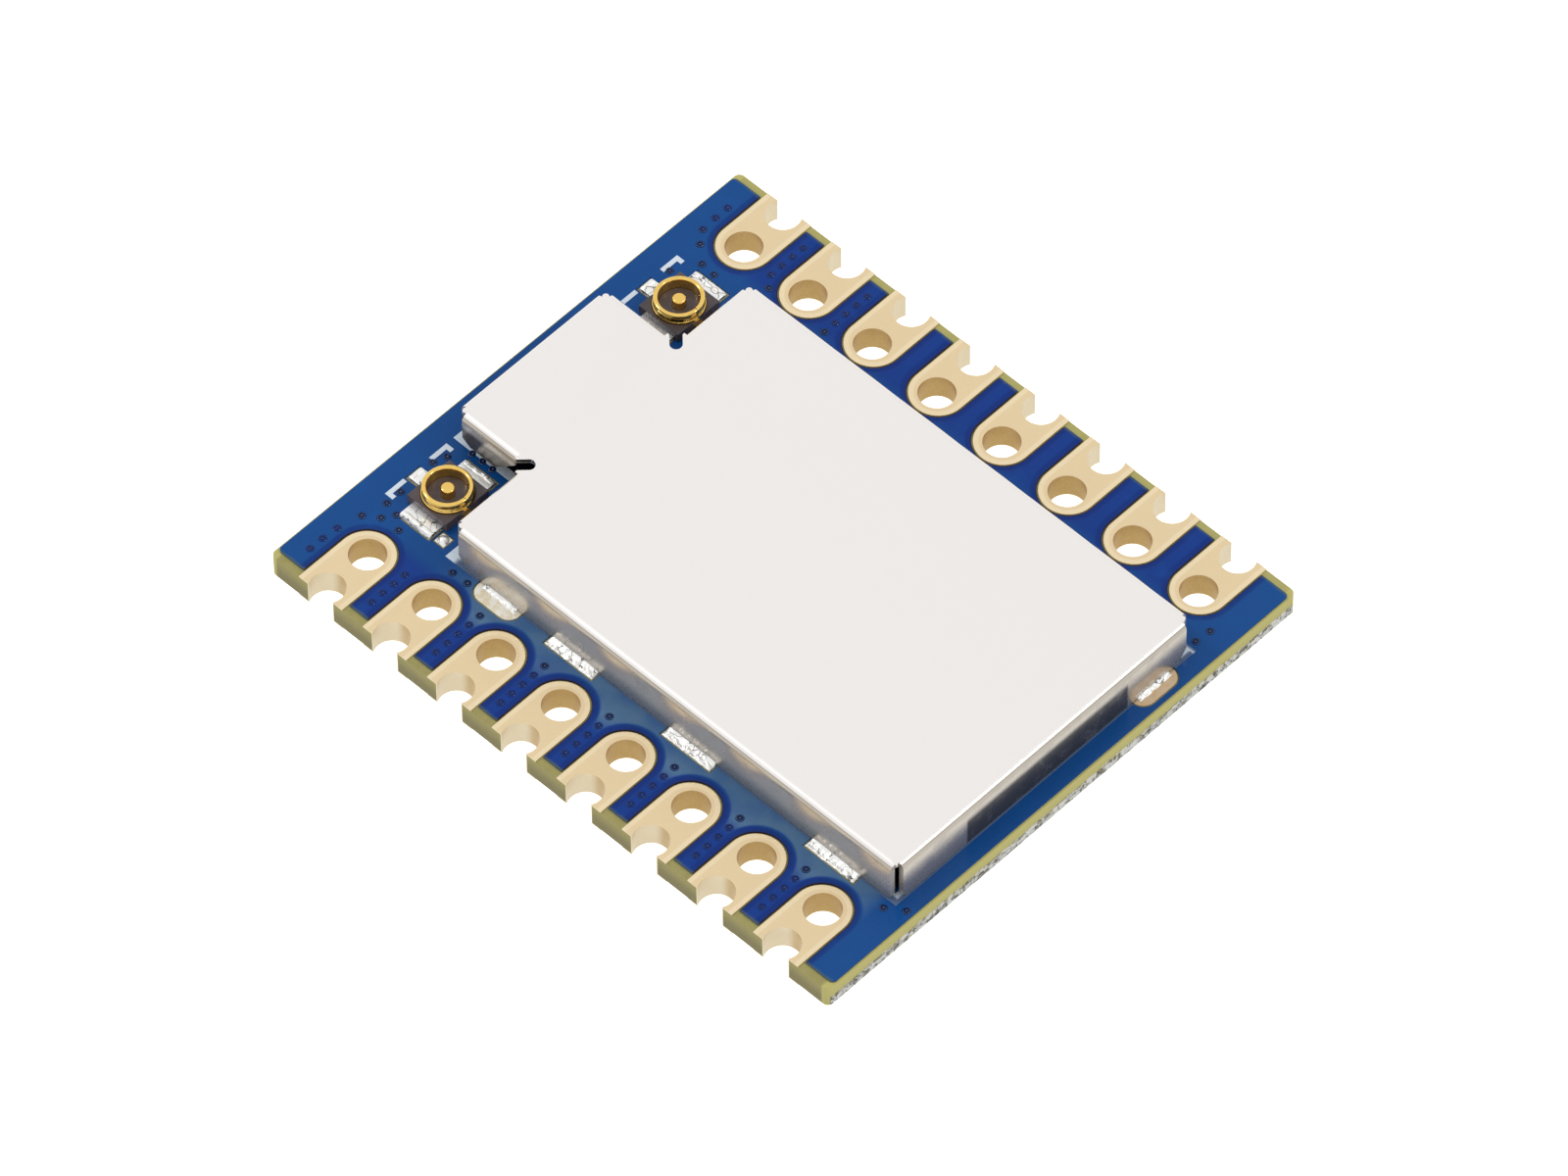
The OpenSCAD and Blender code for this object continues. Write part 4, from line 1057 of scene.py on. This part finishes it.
class MODULE_OT_stage(Operator):
    """Floor, even sky, two soft lights and the camera at the photograph's angle"""

    bl_idname = "module.stage"
    bl_label = "Stage"

    def execute(self, context):
        settings = context.scene.module_stage
        scene = context.scene
        scene.view_settings.view_transform = "Standard"
        scene.view_settings.look = "None"

        world = bpy.data.worlds.new("Even sky")
        world.use_nodes = True
        back = world.node_tree.nodes["Background"]
        back.inputs[0].default_value = (1.0, 1.0, 1.0, 1.0)
        back.inputs[1].default_value = settings.sky_strength
        scene.world = world

        # One floor that the camera sees, and one in its place that the module is lit by
        outline = np.array([(-1, -1, 0), (1, -1, 0), (1, 1, 0), (-1, 1, 0)]) * FLOOR_HALF
        corners = (outline - [0, 0, FLOOR_DROP]) * MM
        for name, tone, glow, seen in (
            ("floor", SEEN_TONE, SEEN_GLOW, True),
            ("floor_bounce", settings.floor_tone, settings.floor_glow, False),
        ):
            mesh = bpy.data.meshes.new(name)
            mesh.from_pydata(corners.tolist(), [], [(0, 1, 2, 3)])
            s = Shader(name)
            s.set(color=(tone, tone, tone * 0.97), rough=0.9, specular=0.0)
            s.bsdf.inputs["Emission Color"].default_value = (1, 1, 1, 1)
            s.bsdf.inputs["Emission Strength"].default_value = glow
            s.see_through_from_below()
            mesh.materials.append(s.material)
            floor = bpy.data.objects.new(name, mesh)
            scene.collection.objects.link(floor)
            floor.visible_camera = seen
            floor.visible_diffuse = not seen
            floor.visible_glossy = not seen
            floor.visible_shadow = not seen

        a, e, r = settings.azimuth, settings.elevation, settings.roll
        flat = Vector((math.sin(a), -math.cos(a), 0))
        right = Vector((math.cos(a), math.sin(a), 0))
        back_dir = Vector((flat.x * math.cos(e), flat.y * math.cos(e), math.sin(e)))
        up = back_dir.cross(right)
        rolled_right = math.cos(r) * right + math.sin(r) * up
        rolled_up = -math.sin(r) * right + math.cos(r) * up
        turn = Matrix((rolled_right, rolled_up, back_dir)).transposed().to_4x4()
        place = Vector(AIM) * MM + back_dir * settings.distance
        camera_data = bpy.data.cameras.new("camera")
        camera_data.lens = settings.lens
        camera_data.sensor_width = 36
        camera_data.clip_start = 0.01
        camera_data.clip_end = 10
        camera = bpy.data.objects.new("camera", camera_data)
        camera.matrix_world = Matrix.Translation(place) @ turn
        scene.collection.objects.link(camera)
        scene.camera = camera

        # Soft lights, so far to the right, towards the camera and up, facing the module
        for name, side, forward, height, watts in (
            ("key", -260.0, -100.0, 300.0, settings.key_power),
            ("fill", 280.0, 60.0, 260.0, settings.fill_power),
        ):
            data = bpy.data.lights.new(name, "AREA")
            data.shape = "SQUARE"
            data.size = LIGHT_SIDE * MM
            data.energy = watts
            light = bpy.data.objects.new(name, data)
            place = (right * side + flat * forward + Vector((0, 0, height))) * MM
            facing = place.to_track_quat("Z", "Y").to_matrix().to_4x4()
            light.matrix_world = Matrix.Translation(place) @ facing
            scene.collection.objects.link(light)
        return {"FINISHED"}


class MODULE_PT_looks(Panel):
    """The module's pieces and settings"""

    bl_label = "Radio Module"
    bl_idname = "MODULE_PT_looks"
    bl_space_type = "VIEW_3D"
    bl_region_type = "UI"
    bl_category = "Radio Module"

    def draw(self, context):
        for operator in OPERATORS:
            self.layout.operator(operator.bl_idname)
        for group in SETTINGS:
            box = self.layout.box()
            values = getattr(context.scene, group)
            for name in values.bl_rna.properties.keys():
                if name not in ("name", "rna_type"):
                    box.prop(values, name)


OPERATORS = (
    MODULE_OT_stage,
    MODULE_OT_board,
    MODULE_OT_via_covers,
    MODULE_OT_can,
    MODULE_OT_can_solder,
    MODULE_OT_antennas,
    MODULE_OT_antenna_solder,
    MODULE_OT_inside,
)
SETTINGS = {
    "module_board": BoardSettings,
    "module_can": CanSettings,
    "module_antenna": AntennaSettings,
    "module_stage": StageSettings,
}


def register():
    for group in SETTINGS.values():
        bpy.utils.register_class(group)
    for name, group in SETTINGS.items():
        setattr(bpy.types.Scene, name, PointerProperty(type=group))
    for operator in OPERATORS:
        bpy.utils.register_class(operator)
    bpy.utils.register_class(MODULE_PT_looks)


def unregister():
    bpy.utils.unregister_class(MODULE_PT_looks)
    for operator in reversed(OPERATORS):
        bpy.utils.unregister_class(operator)
    for name in SETTINGS:
        delattr(bpy.types.Scene, name)
    for group in reversed(list(SETTINGS.values())):
        bpy.utils.unregister_class(group)


def main():
    """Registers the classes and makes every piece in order."""
    register()
    bpy.ops.module.stage()
    bpy.ops.module.board()
    bpy.ops.module.via_covers()
    bpy.ops.module.can()
    bpy.ops.module.can_solder()
    bpy.ops.module.antennas()
    bpy.ops.module.antenna_solder()
    bpy.ops.module.inside()


if __name__ == "__main__":
    main()
